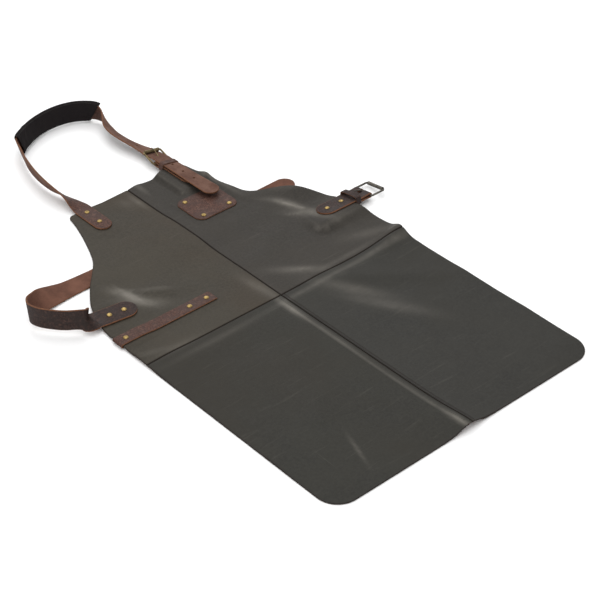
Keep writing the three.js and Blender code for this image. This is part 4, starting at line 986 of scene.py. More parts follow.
PAD_ROUTE = [
    (-73, 627, 21.5, -74), (-47, 645, 22, -75), (-14, 660, 22, -79), (24, 667, 22, -81),
    (56, 664, 21.5, -80), (80, 653, 21.5, -80), (99, 634, 21, -87),
]
NECK_ROUTE = [
    (NECK_LEFT_X, 334, neck_left_z, 0), (NECK_LEFT_X, 372, neck_left_z, 0),
    (NECK_LEFT_X, 404, neck_left_z, 0), (NECK_LEFT_X, 413, neck_left_z + 0.4, -2),
    (-96.5, 424, neck_left_z + 2.8, -14), (-99, 438, 12.5, -32), (-104, 460, 17.5, -50),
    (-107, 488, 19.5, -64), (-104.5, 526, 20.5, -73), (-96, 566, 21, -78), (-84, 600, 21, -78),
    *PAD_ROUTE,
    (101, 612, 20, -104), (95, 592, 18.5, -124), (87, 572, 17.5, -140), (84, 551, 17, -147),
    (86, 522, 15.5, -151), (92, 495, 13, -157),
    on_neck(NECK_FRAME_LENGTH + 8, strap_under_roller - 0.4, NECK_TAB_ROLL + 3),
    on_neck(ROLLER_AT[0], strap_under_roller, NECK_TAB_ROLL),
    on_neck(16, (strap_under_roller + strap_over_fold) / 2 + 0.4, NECK_TAB_ROLL),
    on_neck(4, strap_over_fold + 0.5, NECK_TAB_ROLL),
    on_neck(-8, strap_over_fold + 0.5, NECK_TAB_ROLL),
    on_neck(-18, strap_in_keeper, NECK_TAB_ROLL),
    on_neck(-30, strap_on_rivets + 0.1, NECK_TAB_ROLL),
    on_neck(-74, strap_on_rivets + 0.4, NECK_TAB_ROLL - 2),
    on_neck(-112, strap_on_rivets + 1.4, 4),
    on_neck(-148, strap_on_rivets + 2, 1),
]


def punch(obj, places, radius):
    """round holes through a piece; places are (centre, axis) in garment millimetres"""
    bm = bmesh.new()
    for centre, axis in places:
        turn = Vector(axis).to_track_quat("Z", "Y").to_matrix().to_4x4()
        m = Matrix.Translation(Vector(to_frame([centre])[0])) @ turn
        bmesh.ops.create_cone(bm, cap_ends=True, segments=20, radius1=radius / 1000, radius2=radius / 1000,
                              depth=0.03, matrix=m)
    mesh = bpy.data.meshes.new("punch")
    bm.to_mesh(mesh)
    bm.free()
    tool = bpy.data.objects.new("punch", mesh)
    bpy.context.scene.collection.objects.link(tool)
    tool.data.materials.append(RAW)
    cut = obj.modifiers.new("punch", "BOOLEAN")
    cut.object = tool
    cut.solver = "EXACT"
    cut.material_mode = "TRANSFER"
    apply_all(obj)
    bpy.data.objects.remove(tool)
    return obj


def finish_strap(obj, node):
    give(obj, *([m for m in obj.data.materials] or [GRAIN, FLESH, RAW]))
    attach(obj, "apron")
    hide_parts(node)
    return obj


neck_frames = fine_ends(NECK_ROUTE, 2.5, NECK_STRAP_WIDTH, True, True)
neck_strap = strap_mesh("neck_strap_leather", neck_frames, NECK_STRAP_WIDTH, NECK_STRAP_THICKNESS,
                        True, True, seed=2.0)
give(neck_strap, GRAIN, FLESH_WORN, RAW)
neck_up = NECK.matrix.to_3x3() @ Vector((0, 0, 1))
holes = [(NECK.point(-148 + 30 * (i + 1), 0, 9), neck_up) for i in (1, 2, 3)]
holes.append((Vector((91, 499, 13.5)), Vector((0.3, 0.1, 1))))
punch(neck_strap, holes, 2.2)
finish_strap(neck_strap, "neck_strap")

waist_left_z = (float(leather_height(-230, waist_left_y(-230))) + PANEL_THICKNESS + CLEARANCE
                + WAIST_STRAP_THICKNESS / 2 + 0.15)
left_roll = math.degrees(math.atan(WAIST_LEFT_TILT))
flat_z = WAIST_STRAP_THICKNESS / 2 + 0.05
WAIST_ROUTE = [
    (-194, waist_left_y(-194), waist_left_z, left_roll),
    (-225, waist_left_y(-225), waist_left_z, left_roll),
    (-256, waist_left_y(-256), waist_left_z + 0.1, left_roll),
    (-267, waist_left_y(-267) - 0.5, waist_left_z + 1.2, left_roll + 4),
    (-277, 132, 18.5, 42), (-288, 129, 26, 80), (-299, 136, 27.5, 90), (-314, 148, 27, 90),
    (-330, 166, 27, 90), (-341, 184, 27, 90), (-344, 201, 26.5, 92), (-336, 214, 25.5, 99),
    (-317, 222, 21, 115), (-295, 230, 14.5, 140), (-272, 236, 8, 161),
    (-250, 238.5, flat_z + 2.6, 173), (-232, 239.6, flat_z + 1, 177),
    (-212, WAIST_RUN_Y, flat_z + 0.36, 179), (-190, WAIST_RUN_Y, flat_z, 180),
    (-170, WAIST_RUN_Y, flat_z, 180), (-120, WAIST_RUN_Y, flat_z, 180), (0, WAIST_RUN_Y, flat_z, 180),
    (150, WAIST_RUN_Y, flat_z, 180), (236, WAIST_RUN_Y + 2, flat_z, 180),
]
waist_frames = fine_ends(WAIST_ROUTE, 2.5, WAIST_STRAP_WIDTH, True, True)
waist_strap = strap_mesh("waist_strap_leather", waist_frames, WAIST_STRAP_WIDTH, WAIST_STRAP_THICKNESS,
                         True, True, seed=7.0)
give(waist_strap, GRAIN_DARK, FLESH, RAW)
finish_strap(waist_strap, "waist_strap")

# the towel strap lies on the bib and folds back under its edge
TOWEL_WIDTH, TOWEL_THICKNESS = 24.0, 2.2
towel_half = PANEL_THICKNESS / 2 + CLEARANCE + TOWEL_THICKNESS / 2


def towel_height(x):
    return float(leather_height(x, TOWEL_Y)) + PANEL_THICKNESS / 2


def towel_sweep():
    route = [(x, towel_height(x) + towel_half + 0.12) for x in np.linspace(-83, -264, 60)]
    edge = -(APRON_HALF_WIDTH + CLEARANCE)
    middle = towel_height(edge)
    for i in range(13):
        a = math.pi / 2 + math.pi * i / 12
        route.append((edge + math.cos(a) * towel_half, middle + math.sin(a) * towel_half))
    route += [(edge + t, middle - towel_half) for t in (6, 13, 20, 26)]
    p = np.array([(x, TOWEL_Y, z) for x, z in route])
    along = np.gradient(p, axis=0)
    along /= np.linalg.norm(along, axis=1)[:, None]
    across = np.tile([0, 1.0, 0], (len(p), 1))
    normal = np.cross(across, along)
    if normal[5][2] < 0:
        normal, across = -normal, -across
    d = np.concatenate([[0], np.cumsum(np.linalg.norm(np.diff(p, axis=0), axis=1))])
    return {"at": p, "along": along, "across": across, "normal": normal, "distance": d, "length": d[-1]}


towel_frames = towel_sweep()
towel = strap_mesh("towel_strap_leather", towel_frames, TOWEL_WIDTH, TOWEL_THICKNESS, seed=11.0)
give(towel, GRAIN, FLESH, RAW)
finish_strap(towel, "towel_strap")


# ------------------------------------------------------------------ buckle tabs and keepers
def folded_tab(name, plane, node, width, thickness, length, material, seed):
    """a strap folded round the heel bar, both ends rounded, slotted for the prong"""
    half = PANEL_THICKNESS / 2 + CLEARANCE + thickness / 2
    fold = WIRE / 2 + CLEARANCE + thickness / 2
    stations = [(-length, half), (-60, half), (-30, half), (-14, half), (-8, half + 0.2)]
    stations += [(math.cos(math.pi / 2 - math.pi * i / 10) * fold,
                  math.sin(math.pi / 2 - math.pi * i / 10) * fold) for i in range(11)]
    stations += [(-8, -half - 0.2), (-14, -half), (-30, -half), (-60, -half), (-length, -half)]
    dense = catmull([(x, 0, z) for x, z in stations], 400)
    lengths = np.concatenate([[0], np.cumsum(np.linalg.norm(np.diff(dense, axis=0), axis=1))])
    total = lengths[-1]
    ends = [0.02, 0.1, 0.35, 0.8, 1.5, 2.5, 3.8, 5.4, 7.4, 9.8, 12.5]
    middle = list(np.linspace(15, total - 15, round((total - 30) / 1.6)))
    marks = ends + middle + [total - m for m in ends[::-1]]
    marks = np.array(marks)
    local = np.stack([np.interp(marks, lengths, dense[:, k]) for k in range(3)], 1)
    tangent = np.gradient(local, axis=0)
    tangent /= np.linalg.norm(tangent, axis=1)[:, None]
    rot = np.array(plane.matrix.to_3x3())
    at = np.array([plane.point(*p) for p in local])
    along = tangent @ rot.T
    across = np.tile([0, -1.0, 0], (len(marks), 1)) @ rot.T
    normal = np.cross(across, along)
    frames = {"at": at, "along": along, "across": across, "normal": normal,
              "distance": marks, "length": total}
    obj = strap_mesh(name, frames, width, thickness, True, True, seed=seed)
    give(obj, material, FLESH, RAW)
    bm = bmesh.new()
    bmesh.ops.create_cube(bm, size=1)
    m = Matrix.Translation(Vector(to_frame([plane.point(1.5, 0, 0)])[0])) @ plane.matrix.to_3x3().to_4x4()
    for v in bm.verts:
        v.co = m @ Vector((v.co.x * 0.025, v.co.y * 0.0065, v.co.z * 0.03))
    mesh = bpy.data.meshes.new("slot_tool")
    bm.to_mesh(mesh)
    bm.free()
    tool = bpy.data.objects.new("slot_tool", mesh)
    bpy.context.scene.collection.objects.link(tool)
    tool.data.materials.append(RAW)
    cut = obj.modifiers.new("slot", "BOOLEAN")
    cut.object = tool
    cut.solver = "EXACT"
    cut.material_mode = "TRANSFER"
    apply_all(obj)
    bpy.data.objects.remove(tool)
    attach(obj, "apron")
    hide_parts(node)
    return obj


folded_tab("neck_tab_leather", NECK, "neck_buckle_tab", NECK_STRAP_WIDTH, NECK_STRAP_THICKNESS, 90, GRAIN,
           3.0)
folded_tab("waist_tab_leather", WAIST, "waist_buckle_tab", WAIST_STRAP_WIDTH, WAIST_STRAP_THICKNESS, 102,
           GRAIN_DARK, 5.0)


def keeper(name, plane, node, body, x, width, low, high, hump, material):
    """a leather loop round the tab; its ends meet underneath"""
    wall = 1.4
    y = width / 2 + CLEARANCE + 0.2
    lo, hi = low - CLEARANCE, high + CLEARANCE
    path = [(-y * 0.5, lo), (-y, lo), (-y, (lo + hi) / 2), (-y * 0.97, hi - 0.4), (-y * 0.8, hi + 0.1 * hump),
            (-y * 0.4, hi + 0.5 * hump), (0, hi + 0.7 * hump), (y * 0.4, hi + 0.5 * hump),
            (y * 0.8, hi + 0.1 * hump), (y * 0.97, hi - 0.4), (y, (lo + hi) / 2), (y, lo), (y * 0.5, lo)]
    closed = np.array(path + [path[0]])
    seg = np.linalg.norm(np.diff(closed, axis=0), axis=1)
    s = np.concatenate([[0], np.cumsum(seg)])
    count = 96
    marks = np.linspace(0, s[-1], count, endpoint=False)
    line = np.stack([np.interp(marks, s, closed[:, k]) for k in range(2)], 1)
    for _ in range(3):
        line = (np.roll(line, 1, 0) + line * 2 + np.roll(line, -1, 0)) / 4
    tangent = np.roll(line, -1, 0) - np.roll(line, 1, 0)
    tangent /= np.linalg.norm(tangent, axis=1)[:, None]
    out = np.stack([tangent[:, 1], -tangent[:, 0]], 1)
    if np.mean(np.sum(out * (line - line.mean(0)), axis=1)) < 0:
        out = -out
    half = 5.5
    verts, uvs, rims, section = [], [], [], []
    for a, t in ((-1, 0.1), (-0.93, 0.0), (-0.4, 0), (0.4, 0), (0.93, 0.0), (1, 0.1),
                 (1, 0.9), (0.93, 1.0), (0.4, 1.0), (-0.4, 1.0), (-0.93, 1.0), (-1, 0.9)):
        section.append((a * half, t * wall))
    n = len(section)
    for i in range(count):
        for a, t in section:
            p = line[i] + out[i] * (t + 0.05)
            sway = 0.3 * noise.noise(Vector((i * 0.15, x, 2)))
            verts.append(plane.point(x + a + sway, p[0], p[1]))
            uvs.append((marks[i] / 1000, a / 1000))
            rims.append(1.0 if abs(a) >= 0.93 * half - 0.01 else 0.0)
    obj = mesh_object(name, verts, ring_faces(count, n, closed_loop=True))
    add_uv(obj, uvs)
    add_value(obj, "rim", rims)
    for k, poly in enumerate(obj.data.polygons):
        lane = k % n
        poly.material_index = 1 if lane < 5 else (2 if lane in (5, 11) else 0)
    outward(obj)
    give(obj, material, FLESH, RAW)
    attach(obj, body)
    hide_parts(node)
    return obj


waist_half = PANEL_THICKNESS / 2 + CLEARANCE + WAIST_STRAP_THICKNESS / 2
waist_tab_top = waist_half + WAIST_STRAP_THICKNESS / 2
keeper("neck_keeper_leather", NECK, "neck_keeper", "neck_keeper_ring", -18, NECK_STRAP_WIDTH, -neck_tab_top,
       strap_in_keeper + NECK_STRAP_THICKNESS / 2 + CLEARANCE, 0.6, GRAIN)
keeper("waist_keeper_leather", WAIST, "waist_keeper", "waist_keeper_ring", -28.5, WAIST_STRAP_WIDTH,
       -waist_tab_top, waist_tab_top + WAIST_STRAP_THICKNESS + 1, 1.2, GRAIN_DARK)


# ------------------------------------------------------------------ badge
def badge():
    """a blank leather badge with a slightly wavy cut edge, dimpled round its rivets"""
    w, h = BADGE_SIZE
    r = 15.0
    base = float(leather_height(*BADGE_CENTRE)) + PANEL_THICKNESS + CLEARANCE
    nu, nv = 45, 37
    us = np.linspace(-1, 1, nu)
    vs = np.linspace(-1, 1, nv)
    def place(u, v):
        # a square mapped to a rounded rectangle
        x, y = u * w / 2, v * h / 2
        cx, cy = w / 2 - r, h / 2 - r
        ring = max(abs(u), abs(v))
        if ring > 0:
            bx, by = u / ring * w / 2, v / ring * h / 2
            if abs(bx) > cx and abs(by) > cy:
                dx, dy = bx - math.copysign(cx, bx), by - math.copysign(cy, by)
                k = r / max(r, math.hypot(dx, dy))
                bx, by = math.copysign(cx, bx) + dx * k, math.copysign(cy, by) + dy * k
            blend = ring ** 3
            x, y = x * (1 - blend) + bx * ring * blend, y * (1 - blend) + by * ring * blend
            wave = 0.7 * noise.noise(Vector((bx * 0.06, by * 0.06, 4.0))) * blend
            x += wave * bx / (w / 2)
            y += wave * by / (h / 2)
        return x, y
    rivets = [(sx * 28, sy * 25.5) for sx in (-1, 1) for sy in (-1, 1)]
    verts, uvs, rims = [], [], []
    for layer in (1, 0):
        for v in vs:
            for u in us:
                x, y = place(u, v)
                ring = max(abs(u), abs(v))
                z = base + (2.0 if layer else 0.0)
                if layer:
                    z -= 0.35 * ring ** 14
                    z += 0.25 * noise.noise(Vector((x * 0.05, y * 0.05, 8.0))) * (1 - ring ** 8)
                    for rx, ry in rivets:
                        z -= 0.22 * math.exp(-((x - rx) ** 2 + (y - ry) ** 2) / 42.0)
                verts.append((x + BADGE_CENTRE[0], y + BADGE_CENTRE[1], z))
                uvs.append((x / 1000, y / 1000))
                rims.append(ring ** 9)
    idx = np.arange(nu * nv).reshape(nv, nu)
    faces = []
    n = nu * nv
    for i in range(nv - 1):
        for j in range(nu - 1):
            faces.append((idx[i, j], idx[i, j + 1], idx[i + 1, j + 1], idx[i + 1, j]))
            faces.append((n + idx[i, j], n + idx[i + 1, j], n + idx[i + 1, j + 1], n + idx[i, j + 1]))
    loop = list(idx[0, :]) + list(idx[1:, -1]) + list(idx[-1, -2::-1]) + list(idx[-2:0:-1, 0])
    side_start = len(faces)
    for k in range(len(loop)):
        l = (k + 1) % len(loop)
        faces.append((loop[k], n + loop[k], n + loop[l], loop[l]))
    obj = mesh_object("badge_leather", verts, faces)
    add_uv(obj, uvs)
    add_value(obj, "rim", rims)
    for k, poly in enumerate(obj.data.polygons):
        poly.material_index = 2 if k >= side_start else (1 if k % 2 else 0)
    bm = bmesh.new()
    bm.from_mesh(obj.data)
    bmesh.ops.recalc_face_normals(bm, faces=bm.faces)
    bm.to_mesh(obj.data)
    bm.free()
    give(obj, GRAIN, FLESH, RAW)
    soft = obj.modifiers.new("eased", "BEVEL")
    soft.width, soft.segments, soft.limit_method, soft.angle_limit = 0.0004, 2, "ANGLE", math.radians(50)
    apply_all(obj)
    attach(obj, "apron")
    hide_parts("badge")


badge()


# ------------------------------------------------------------------ rivets
def grower(name, numbers, material):
    """a geometry tree whose named inputs are points, some numbers and a material"""
    group = bpy.data.node_groups.new(name, "GeometryNodeTree")
    face = group.interface
    face.new_socket("Geometry", in_out="INPUT", socket_type="NodeSocketGeometry")
    for key, value in numbers.items():
        face.new_socket(key, in_out="INPUT", socket_type="NodeSocketFloat").default_value = value
    face.new_socket(material, in_out="INPUT", socket_type="NodeSocketMaterial")
    face.new_socket("Geometry", in_out="OUTPUT", socket_type="NodeSocketGeometry")
    tree = Tree(group)
    entry = tree.nodes.new("NodeGroupInput")
    given = {s.name: Socket(tree, s) for s in entry.outputs if s.name}
    return group, tree, given


def turned_to(tree, attribute, axis):
    """the turn that points an axis along a stored direction"""
    stored = tree.node("GeometryNodeInputNamedAttribute", {"data_type": "FLOAT_VECTOR"}, Name=attribute)[0]
    return tree.node("FunctionNodeAlignRotationToVector", {"axis": axis}, Vector=stored)[0]


def set_at_points(tree, given, shape, turn, material):
    """puts a copy of the shape at every point and gives the copies their material"""
    points = tree.node("GeometryNodeMeshToPoints", {}, Mesh=given["Geometry"])[0]
    copies = tree.node("GeometryNodeInstanceOnPoints", {}, Points=points, Instance=shape, Rotation=turn)[0]
    real = tree.node("GeometryNodeRealizeInstances", {}, copies)[0]
    finished = tree.node("GeometryNodeSetMaterial", {}, Geometry=real, Material=given[material])[0]
    smooth = tree.node("GeometryNodeSetShadeSmooth", {}, finished)[0]
    tree.put(tree.nodes.new("NodeGroupOutput").inputs[0], smooth)


CAP_RADIUS = 4.3
CAP_SEAT = -0.12       # the dome's lower half is flattened here, as a share of the cap's height


def rivet_tree():
    """a domed cap with a flat seat, at every point, facing along its stored direction"""
    sizes = {"Cap Radius": CAP_RADIUS / 1000, "Cap Height": CAP_HEIGHT / 1000}
    group, tree, given = grower("rivet_setter", sizes, "Metal")
    ball = tree.node("GeometryNodeMeshUVSphere", {}, Segments=28, Rings=16, Radius=1.0)[0]
    position = tree.node("GeometryNodeInputPosition", {})[0]
    x, y, z = tree.node("ShaderNodeSeparateXYZ", {}, position)
    seated = tree.node("ShaderNodeMath", {"operation": "MAXIMUM"}, z, CAP_SEAT)[0]
    place = tree.node("ShaderNodeCombineXYZ", {}, x * given["Cap Radius"], y * given["Cap Radius"],
                      seated * given["Cap Height"])[0]
    cap = tree.node("GeometryNodeSetPosition", {}, Geometry=ball, Position=place)[0]
    set_at_points(tree, given, cap, turned_to(tree, "up", "Z"), "Metal")
    return group


def grow(obj, tree, values):
    """runs a tree on obj with named inputs and keeps the plain mesh it makes"""
    mod = obj.modifiers.new("grown", "NODES")
    mod.node_group = tree
    by_name = {s.name: s.identifier for s in tree.interface.items_tree
               if s.item_type == "SOCKET" and s.in_out == "INPUT"}
    for name, value in values.items():
        mod[by_name[name]] = value
    obj.update_tag()
    return apply_all(obj)


def cad_rivets():
    """where each cap sits, from its own CAD node: middle of the cap's underside, and the way it points"""
    groups = {}
    for node in sorted(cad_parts):
        if node.startswith("rivet_") and not node.endswith("_back"):
            co = np.array([v.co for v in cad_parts[node].data.vertices])
            if "neck_right" in node:
                up = np.array(neck_up)
            elif "waist_right" in node:
                up = np.array(WAIST.matrix.to_3x3() @ Vector((0, 0, 1)))
            elif "waist_left" in node:
                up = np.array(Matrix.Rotation(math.atan(-0.14), 3, "Z")
                              @ Matrix.Rotation(math.atan(WAIST_LEFT_TILT), 3, "X") @ Vector((0, 0, 1)))
            else:
                up = np.array((0, 0, 1.0))
            up /= np.linalg.norm(up)
            top = (co @ up).max()
            wide = co[(co @ up) > top - 0.00155]
            middle = wide.mean(0)
            middle = middle + up * (top - CAP_HEIGHT / 1000 - middle @ up)
            groups[node] = (middle, up)
    return groups


rivets = cad_rivets()
rivet_mesh = bpy.data.meshes.new("rivet_caps")
rivet_mesh.from_pydata([tuple(p) for p, _ in rivets.values()], [], [])
rivet_caps = bpy.data.objects.new("rivet_caps", rivet_mesh)
bpy.context.scene.collection.objects.link(rivet_caps)
layer = rivet_mesh.attributes.new("up", "FLOAT_VECTOR", "POINT")
layer.data.foreach_set("vector", np.array([u for _, u in rivets.values()], np.float32).ravel())
grow(rivet_caps, rivet_tree(),
     {"Cap Radius": CAP_RADIUS / 1000, "Cap Height": CAP_HEIGHT / 1000, "Metal": RIVET})
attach(rivet_caps, "apron")
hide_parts(*rivets)
for node in sorted(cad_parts):
    if node.startswith("rivet_") and node.endswith("_back"):
        give(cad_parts[node], RIVET)


# ------------------------------------------------------------------ stitches
def stitch_tree():
    """thread stitches at every point, lying along the stored direction"""
    sizes = {"Stitch Length": 0.004, "Thread Radius": 0.0004, "Slant": 0.5}
    group, tree, given = grower("stitcher", sizes, "Thread")
    length, radius = given["Stitch Length"], given["Thread Radius"]
    low = radius * -1.0
    start = tree.node("ShaderNodeCombineXYZ", {}, length * -0.5, 0.0, low)[0]
    end = tree.node("ShaderNodeCombineXYZ", {}, length * 0.5, 0.0, low)[0]
    top = tree.node("ShaderNodeCombineXYZ", {}, 0.0, 0.0, radius * 1.6)[0]
    arc = tree.node("GeometryNodeCurveQuadraticBezier", {}, Resolution=6, Start=start, Middle=top, End=end)[0]
    ring = tree.node("GeometryNodeCurvePrimitiveCircle", {}, Resolution=6, Radius=radius)[0]
    solid = tree.node("GeometryNodeCurveToMesh", {}, Curve=arc, Profile_Curve=ring, Fill_Caps=True)[0]
    spin = tree.node("FunctionNodeAxisAngleToRotation", {}, Axis=(0, 0, 1), Angle=given["Slant"])[0]
    turn = tree.node("FunctionNodeRotateRotation", {"rotation_space": "LOCAL"},
                     turned_to(tree, "along", "X"), spin)[0]
    set_at_points(tree, given, solid, turn, "Thread")
    return group


STITCHER = stitch_tree()


def stitches(name, points, pitch, length, radius, slant, node, body="apron"):
    """a row of stitches along points, in garment millimetres"""
    p = np.asarray(points, float)
    s = np.concatenate([[0], np.cumsum(np.linalg.norm(np.diff(p, axis=0), axis=1))])
    marks = np.arange(pitch / 2, s[-1], pitch)
    at = np.stack([np.interp(marks, s, p[:, k]) for k in range(3)], 1)
    ahead = np.stack([np.interp(marks + 0.5, s, p[:, k]) for k in range(3)], 1)
    behind = np.stack([np.interp(marks - 0.5, s, p[:, k]) for k in range(3)], 1)
    along = ahead - behind
    along /= np.linalg.norm(along, axis=1)[:, None]
    mesh = bpy.data.meshes.new(name)
    mesh.from_pydata([tuple(v) for v in to_frame(at)], [], [])
    obj = bpy.data.objects.new(name, mesh)
    bpy.context.scene.collection.objects.link(obj)
    layer = mesh.attributes.new("along", "FLOAT_VECTOR", "POINT")
    layer.data.foreach_set("vector", along.astype(np.float32).ravel())
    grow(obj, STITCHER, {"Stitch Length": length / 1000, "Thread Radius": radius / 1000, "Slant": slant,
                         "Thread": THREAD})
    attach(obj, body)
    if node:
        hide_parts(node)
    return obj


def surface_row(xs, ys, sink):
    side = -1 if np.mean(xs) < 0 else 1
    z = visual_height(np.array(xs, float), np.array(ys, float), side, float(np.mean(ys)) < 0) - sink
    return np.stack([xs, ys, z], 1)


bib_ys = np.arange(4, BIB_LENGTH - 6, 2.0)
skirt_ys = -np.arange(4, SKIRT_LENGTH - 6, 2.0)
stitches("bib_seam_stitches", surface_row(0 * bib_ys, bib_ys, 1.5), 3.2, 2.3, 0.4, 1.2, "bib_seam_thread")
stitches("skirt_seam_stitches", surface_row(0 * skirt_ys + 2.6, skirt_ys, 0.25), 3.6, 5.6, 0.42, 1.0,
         "skirt_seam_thread")
stitches("skirt_topstitch_row", surface_row(0 * skirt_ys - 8, skirt_ys, 0.05), 4.2, 3.3, 0.36, 0.16,
         "skirt_topstitch")
waist_xs = np.arange(-APRON_HALF_WIDTH + 5, APRON_HALF_WIDTH - 5, 2.0)
stitches("waist_seam_stitches", surface_row(waist_xs, 0 * waist_xs, 1.5), 3.2, 2.3, 0.4, 1.2,
         "waist_seam_thread")


# ------------------------------------------------------------------ buckles
def wire_path(length, width, wire):
    r = wire * 0.9
    corners = [(0, -width / 2), (length, -width / 2), (length, width / 2), (0, width / 2)]
    out = []
    for c in range(4):
        here = np.array(corners[c])
        before = np.array(corners[(c + 3) % 4]) - here
        after = np.array(corners[(c + 1) % 4]) - here
        before, after = before / np.linalg.norm(before), after / np.linalg.norm(after)
        centre = here + before * r + after * r
        for s in range(9):
            a = s / 8 * math.pi / 2
            out.append(centre - before * r * math.sin(a) - after * r * math.cos(a))
        nxt = np.array(corners[(c + 1) % 4]) - after * r
        for s in range(1, 12):
            out.append(out[-1] * 0 + (here + after * r) * (1 - s / 12) + nxt * (s / 12))
    return np.array([(p[0], p[1], 0.0) for p in out])


def recess_by_wear(obj, strength=0.6):
    co = np.array([v.co for v in obj.data.vertices]) * 1000
    add_value(obj, "recess", [strength * max(0.0, noise.noise(Vector(c * 0.22))) for c in co])


def buckle(prefix, plane, inner, frame_length, tilt, body_prefix, node_prefix, plate, shank, eye):
    tilt_matrix = Matrix.Rotation(-math.radians(tilt), 4, "Y")
    path = wire_path(frame_length, inner + WIRE, WIRE)
    world = np.array([plane.matrix @ (tilt_matrix @ Vector(p)) for p in path])
    obj = tube(prefix + "_frame_wire", world, WIRE / 2, 16, closed=True)
    recess_by_wear(obj)
    give(obj, plate)
    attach(obj, body_prefix + "_frame")
    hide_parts(node_prefix + "_frame")
    # the roller: a rolled sheet with turned edges
    half = inner / 2 - 1.2
    bore = WIRE / 2 + CLEARANCE
    outer = bore + ROLLER_WALL
    section = [(bore, -half), (bore + 0.5, -half), (outer - 0.35, -half + 0.05), (outer, -half + 0.5),
               (outer, -half + 2.0), (outer - 0.14, -half + 2.4), (outer - 0.14, half - 2.4), (outer, half - 2.0),
               (outer, half - 0.5), (outer - 0.35, half - 0.05), (bore + 0.5, half), (bore, half)]
    sides = 36
    verts = []
    centre = tilt_matrix @ Vector((frame_length, 0, 0))
    for k in range(sides):
        a = 2 * math.pi * k / sides
        for r, y in section:
            groove = 0.12 if k == 9 and r > bore + 0.6 else 0.0
            reach = r - groove
            verts.append(plane.point(centre.x + math.cos(a) * reach, y, centre.z + math.sin(a) * reach))
    faces = ring_faces(sides, len(section), closed_loop=True)
    roller = outward(mesh_object(prefix + "_roller_tube", verts, faces))
    recess_by_wear(roller)
    give(roller, plate)
    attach(roller, body_prefix + "_roller")
    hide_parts(node_prefix + "_roller")
    # the prong
    radius = 1.2
    eye_radius = WIRE / 2 + CLEARANCE + radius
    pts = [(math.cos(math.radians(a)) * eye_radius, 0, math.sin(math.radians(a)) * eye_radius)
           for a in np.linspace(eye[0], eye[1], 16)]
    pts += [(x, 0, z) for x, z in shank]
    dense = catmull(pts, 90)
    taper = [1.0] * 80 + list(np.linspace(1.0, 0.7, 9)) + [0.62, 0.45]
    world = [plane.point(*p) for p in dense]
    prong = tube(prefix + "_prong_wire", world, radius, 14, profile=taper)
    recess_by_wear(prong)
    give(prong, plate)
    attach(prong, body_prefix + "_prong")
    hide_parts(node_prefix + "_prong")


prong_on_roller = roller_radius + CLEARANCE + 1.2
buckle("neck_buckle", NECK, NECK_STRAP_WIDTH + 1.6, NECK_FRAME_LENGTH, NECK_FRAME_TILT, "neck", "neck_buckle",
       ANTIQUE,
       [(7.4, 4.4), (16, 8.6), (ROLLER_AT[0] - 6, ROLLER_AT[1] + prong_on_roller + 0.2),
        (ROLLER_AT[0] + 1.5, ROLLER_AT[1] + prong_on_roller + 0.3)], (-200, 50))
buckle("waist_buckle", WAIST, WAIST_STRAP_WIDTH + 1.6, WAIST_FRAME_LENGTH, 0, "waist", "waist_buckle",
       GUNMETAL, [(-6, 6.4), (-12, 8.6), (-20.5, 12)], (-60, 125))


# ------------------------------------------------------------------ neck pad
PAD_HEIGHT = 41.0
PAD_WALL = 0.9
PAD_FRONT = NECK_STRAP_THICKNESS / 2 + 0.8 + 1.8 + 2 * CLEARANCE
PAD_BACK = NECK_STRAP_THICKNESS / 2 + 0.8


def pad_frames(step):
    """the stretch of the neck strap that the pad covers"""
    all_frames = strap_frames(NECK_ROUTE, step)
    def near(p):
        return int(np.argmin(np.linalg.norm(all_frames["at"] - np.array(p[:3]), axis=1)))
    a, b = near(PAD_ROUTE[0]), near(PAD_ROUTE[-1])
    return {k: (v[a:b + 1] if not np.isscalar(v) else v) for k, v in all_frames.items()}


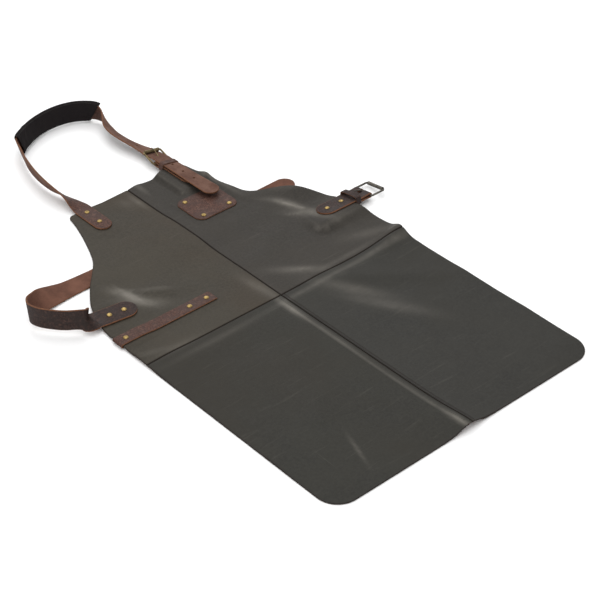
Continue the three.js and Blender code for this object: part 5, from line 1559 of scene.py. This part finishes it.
def neck_pad():
    frames = pad_frames(2.2)
    n = len(frames["at"])
    h = PAD_HEIGHT / 2
    wall = PAD_WALL * 0.6
    # once round the sleeve: the neck side, the top fold, the far side, the bottom fold
    around = []
    lanes = 15
    spread = [math.sin((k / (lanes - 1) - 0.5) * math.pi) for k in range(lanes)]
    spread = [0.6 * t + 0.4 * (2 * k / (lanes - 1) - 1) for k, t in enumerate(spread)]
    around += [(t, 1) for t in spread]
    around += [(-t, -1) for t in spread]
    m = len(around)
    verts, uvs, pins = [], [], []
    d0 = frames["distance"][0]
    for i in range(n):
        s = i / (n - 1)
        for k, (t, face) in enumerate(around):
            bulge = 1 - t ** 16
            depth = (PAD_FRONT + wall) if face > 0 else -(PAD_BACK + wall)
            depth = depth * bulge + 0.35 * (1 - bulge) * face
            slide = 0.0
            if s > 0.75:
                slide = (t * 10 + 2) * ((s - 0.75) / 0.25) ** 1.5
            at = (frames["at"][i] + frames["across"][i] * (t * (h - 0.4)) * -1
                  + frames["normal"][i] * depth + frames["along"][i] * slide)
            verts.append(at)
            uvs.append(((frames["distance"][i] - d0) / 1000, (t if face > 0 else 4 - t) * h / 1000))
            pins.append(1.0 if i in (0, n - 1) or abs(t) > 0.99 else 0.0)
    faces = ring_faces(n, m)
    obj = mesh_object("neck_pad_cloth", verts, faces)
    add_uv(obj, uvs)
    outwards = bmesh.new()
    outwards.from_mesh(obj.data)
    bmesh.ops.recalc_face_normals(outwards, faces=outwards.faces)
    outwards.to_mesh(obj.data)
    outwards.free()
    rest = np.array([v.co for v in obj.data.vertices])
    group = obj.vertex_groups.new(name="sewn")
    for i, w in enumerate(pins):
        group.add([i], w, "REPLACE")
    cloth = obj.modifiers.new("cloth", "CLOTH")
    c = cloth.settings
    c.quality = 8
    c.mass = 0.15
    c.tension_stiffness = c.compression_stiffness = 18
    c.shear_stiffness = 6
    c.bending_stiffness = 0.08
    c.vertex_group_mass = "sewn"
    c.shrink_min = -0.04
    c.use_pressure = True
    c.uniform_pressure_force = 1.2
    c.effector_weights.gravity = 0
    cloth.collision_settings.use_collision = False
    scene = bpy.context.scene
    for f in range(1, 21):
        scene.frame_set(f)
    apply_all(obj)
    scene.frame_set(1)
    co = np.array([v.co for v in obj.data.vertices])
    move = co - rest
    far = np.linalg.norm(move, axis=1)
    cap = 0.0016
    keep = np.minimum(1, cap / np.maximum(far, 1e-9))
    co = rest + move * keep[:, None]
    # the cloth may stand off what it covers, never sink into it
    for i in range(n):
        for k, (t, face) in enumerate(around):
            j = i * m + k
            out = frames["normal"][i] * face
            sunk = float(np.dot(co[j] - rest[j], out))
            if sunk < 0:
                co[j] = co[j] - out * sunk
    # cross-wise wrinkles, strongest near the left part, dying out at the sewn edges
    inward = co.copy()
    for i in range(n):
        for k, (t, face) in enumerate(around):
            j = i * m + k
            normal = frames["normal"][i] * face
            s = (frames["distance"][i] - d0)
            fade = (1 - t ** 2) ** 0.5
            drift = noise.noise(Vector((s * 0.03, t * 0.8, face)))
            place = s * 0.16 + t * 0.5 * math.sin(s * 0.05) + drift * 2.2
            strength = 0.55 + 0.5 * math.exp(-((s - 60) / 45) ** 2)
            wave = math.sin(place * 2.4) * 0.42 + noise.noise(Vector((s * 0.1, t * 1.3, 5 + face))) * 0.5
            inward[j] = co[j] + normal * (max(wave, -0.3) + 0.1) * strength * fade / 1000
    obj.data.vertices.foreach_set("co", inward.ravel())
    obj.data.update()
    solid = obj.modifiers.new("cloth_wall", "SOLIDIFY")
    solid.thickness = 0.0005
    solid.offset = -1
    smooth = obj.modifiers.new("round", "SUBSURF")
    smooth.levels = smooth.render_levels = 1
    apply_all(obj)
    give(obj, CLOTH)
    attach(obj, "apron")
    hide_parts("neck_pad_cover")
    # the seams along both long edges, and the filling
    for name, t in (("pad_top_stitches", -0.86), ("pad_bottom_stitches", 0.86)):
        row = []
        for i in range(2, n - 2):
            row.append(frames["at"][i] + frames["across"][i] * t * h
                       + frames["normal"][i] * ((PAD_FRONT + wall) * (1 - t ** 16) + 0.35 + 0.5))
        stitches(name, row, 3.4, 2.7, 0.3, 0.0, None)


neck_pad()
give(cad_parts["neck_pad_padding"], FILLING)
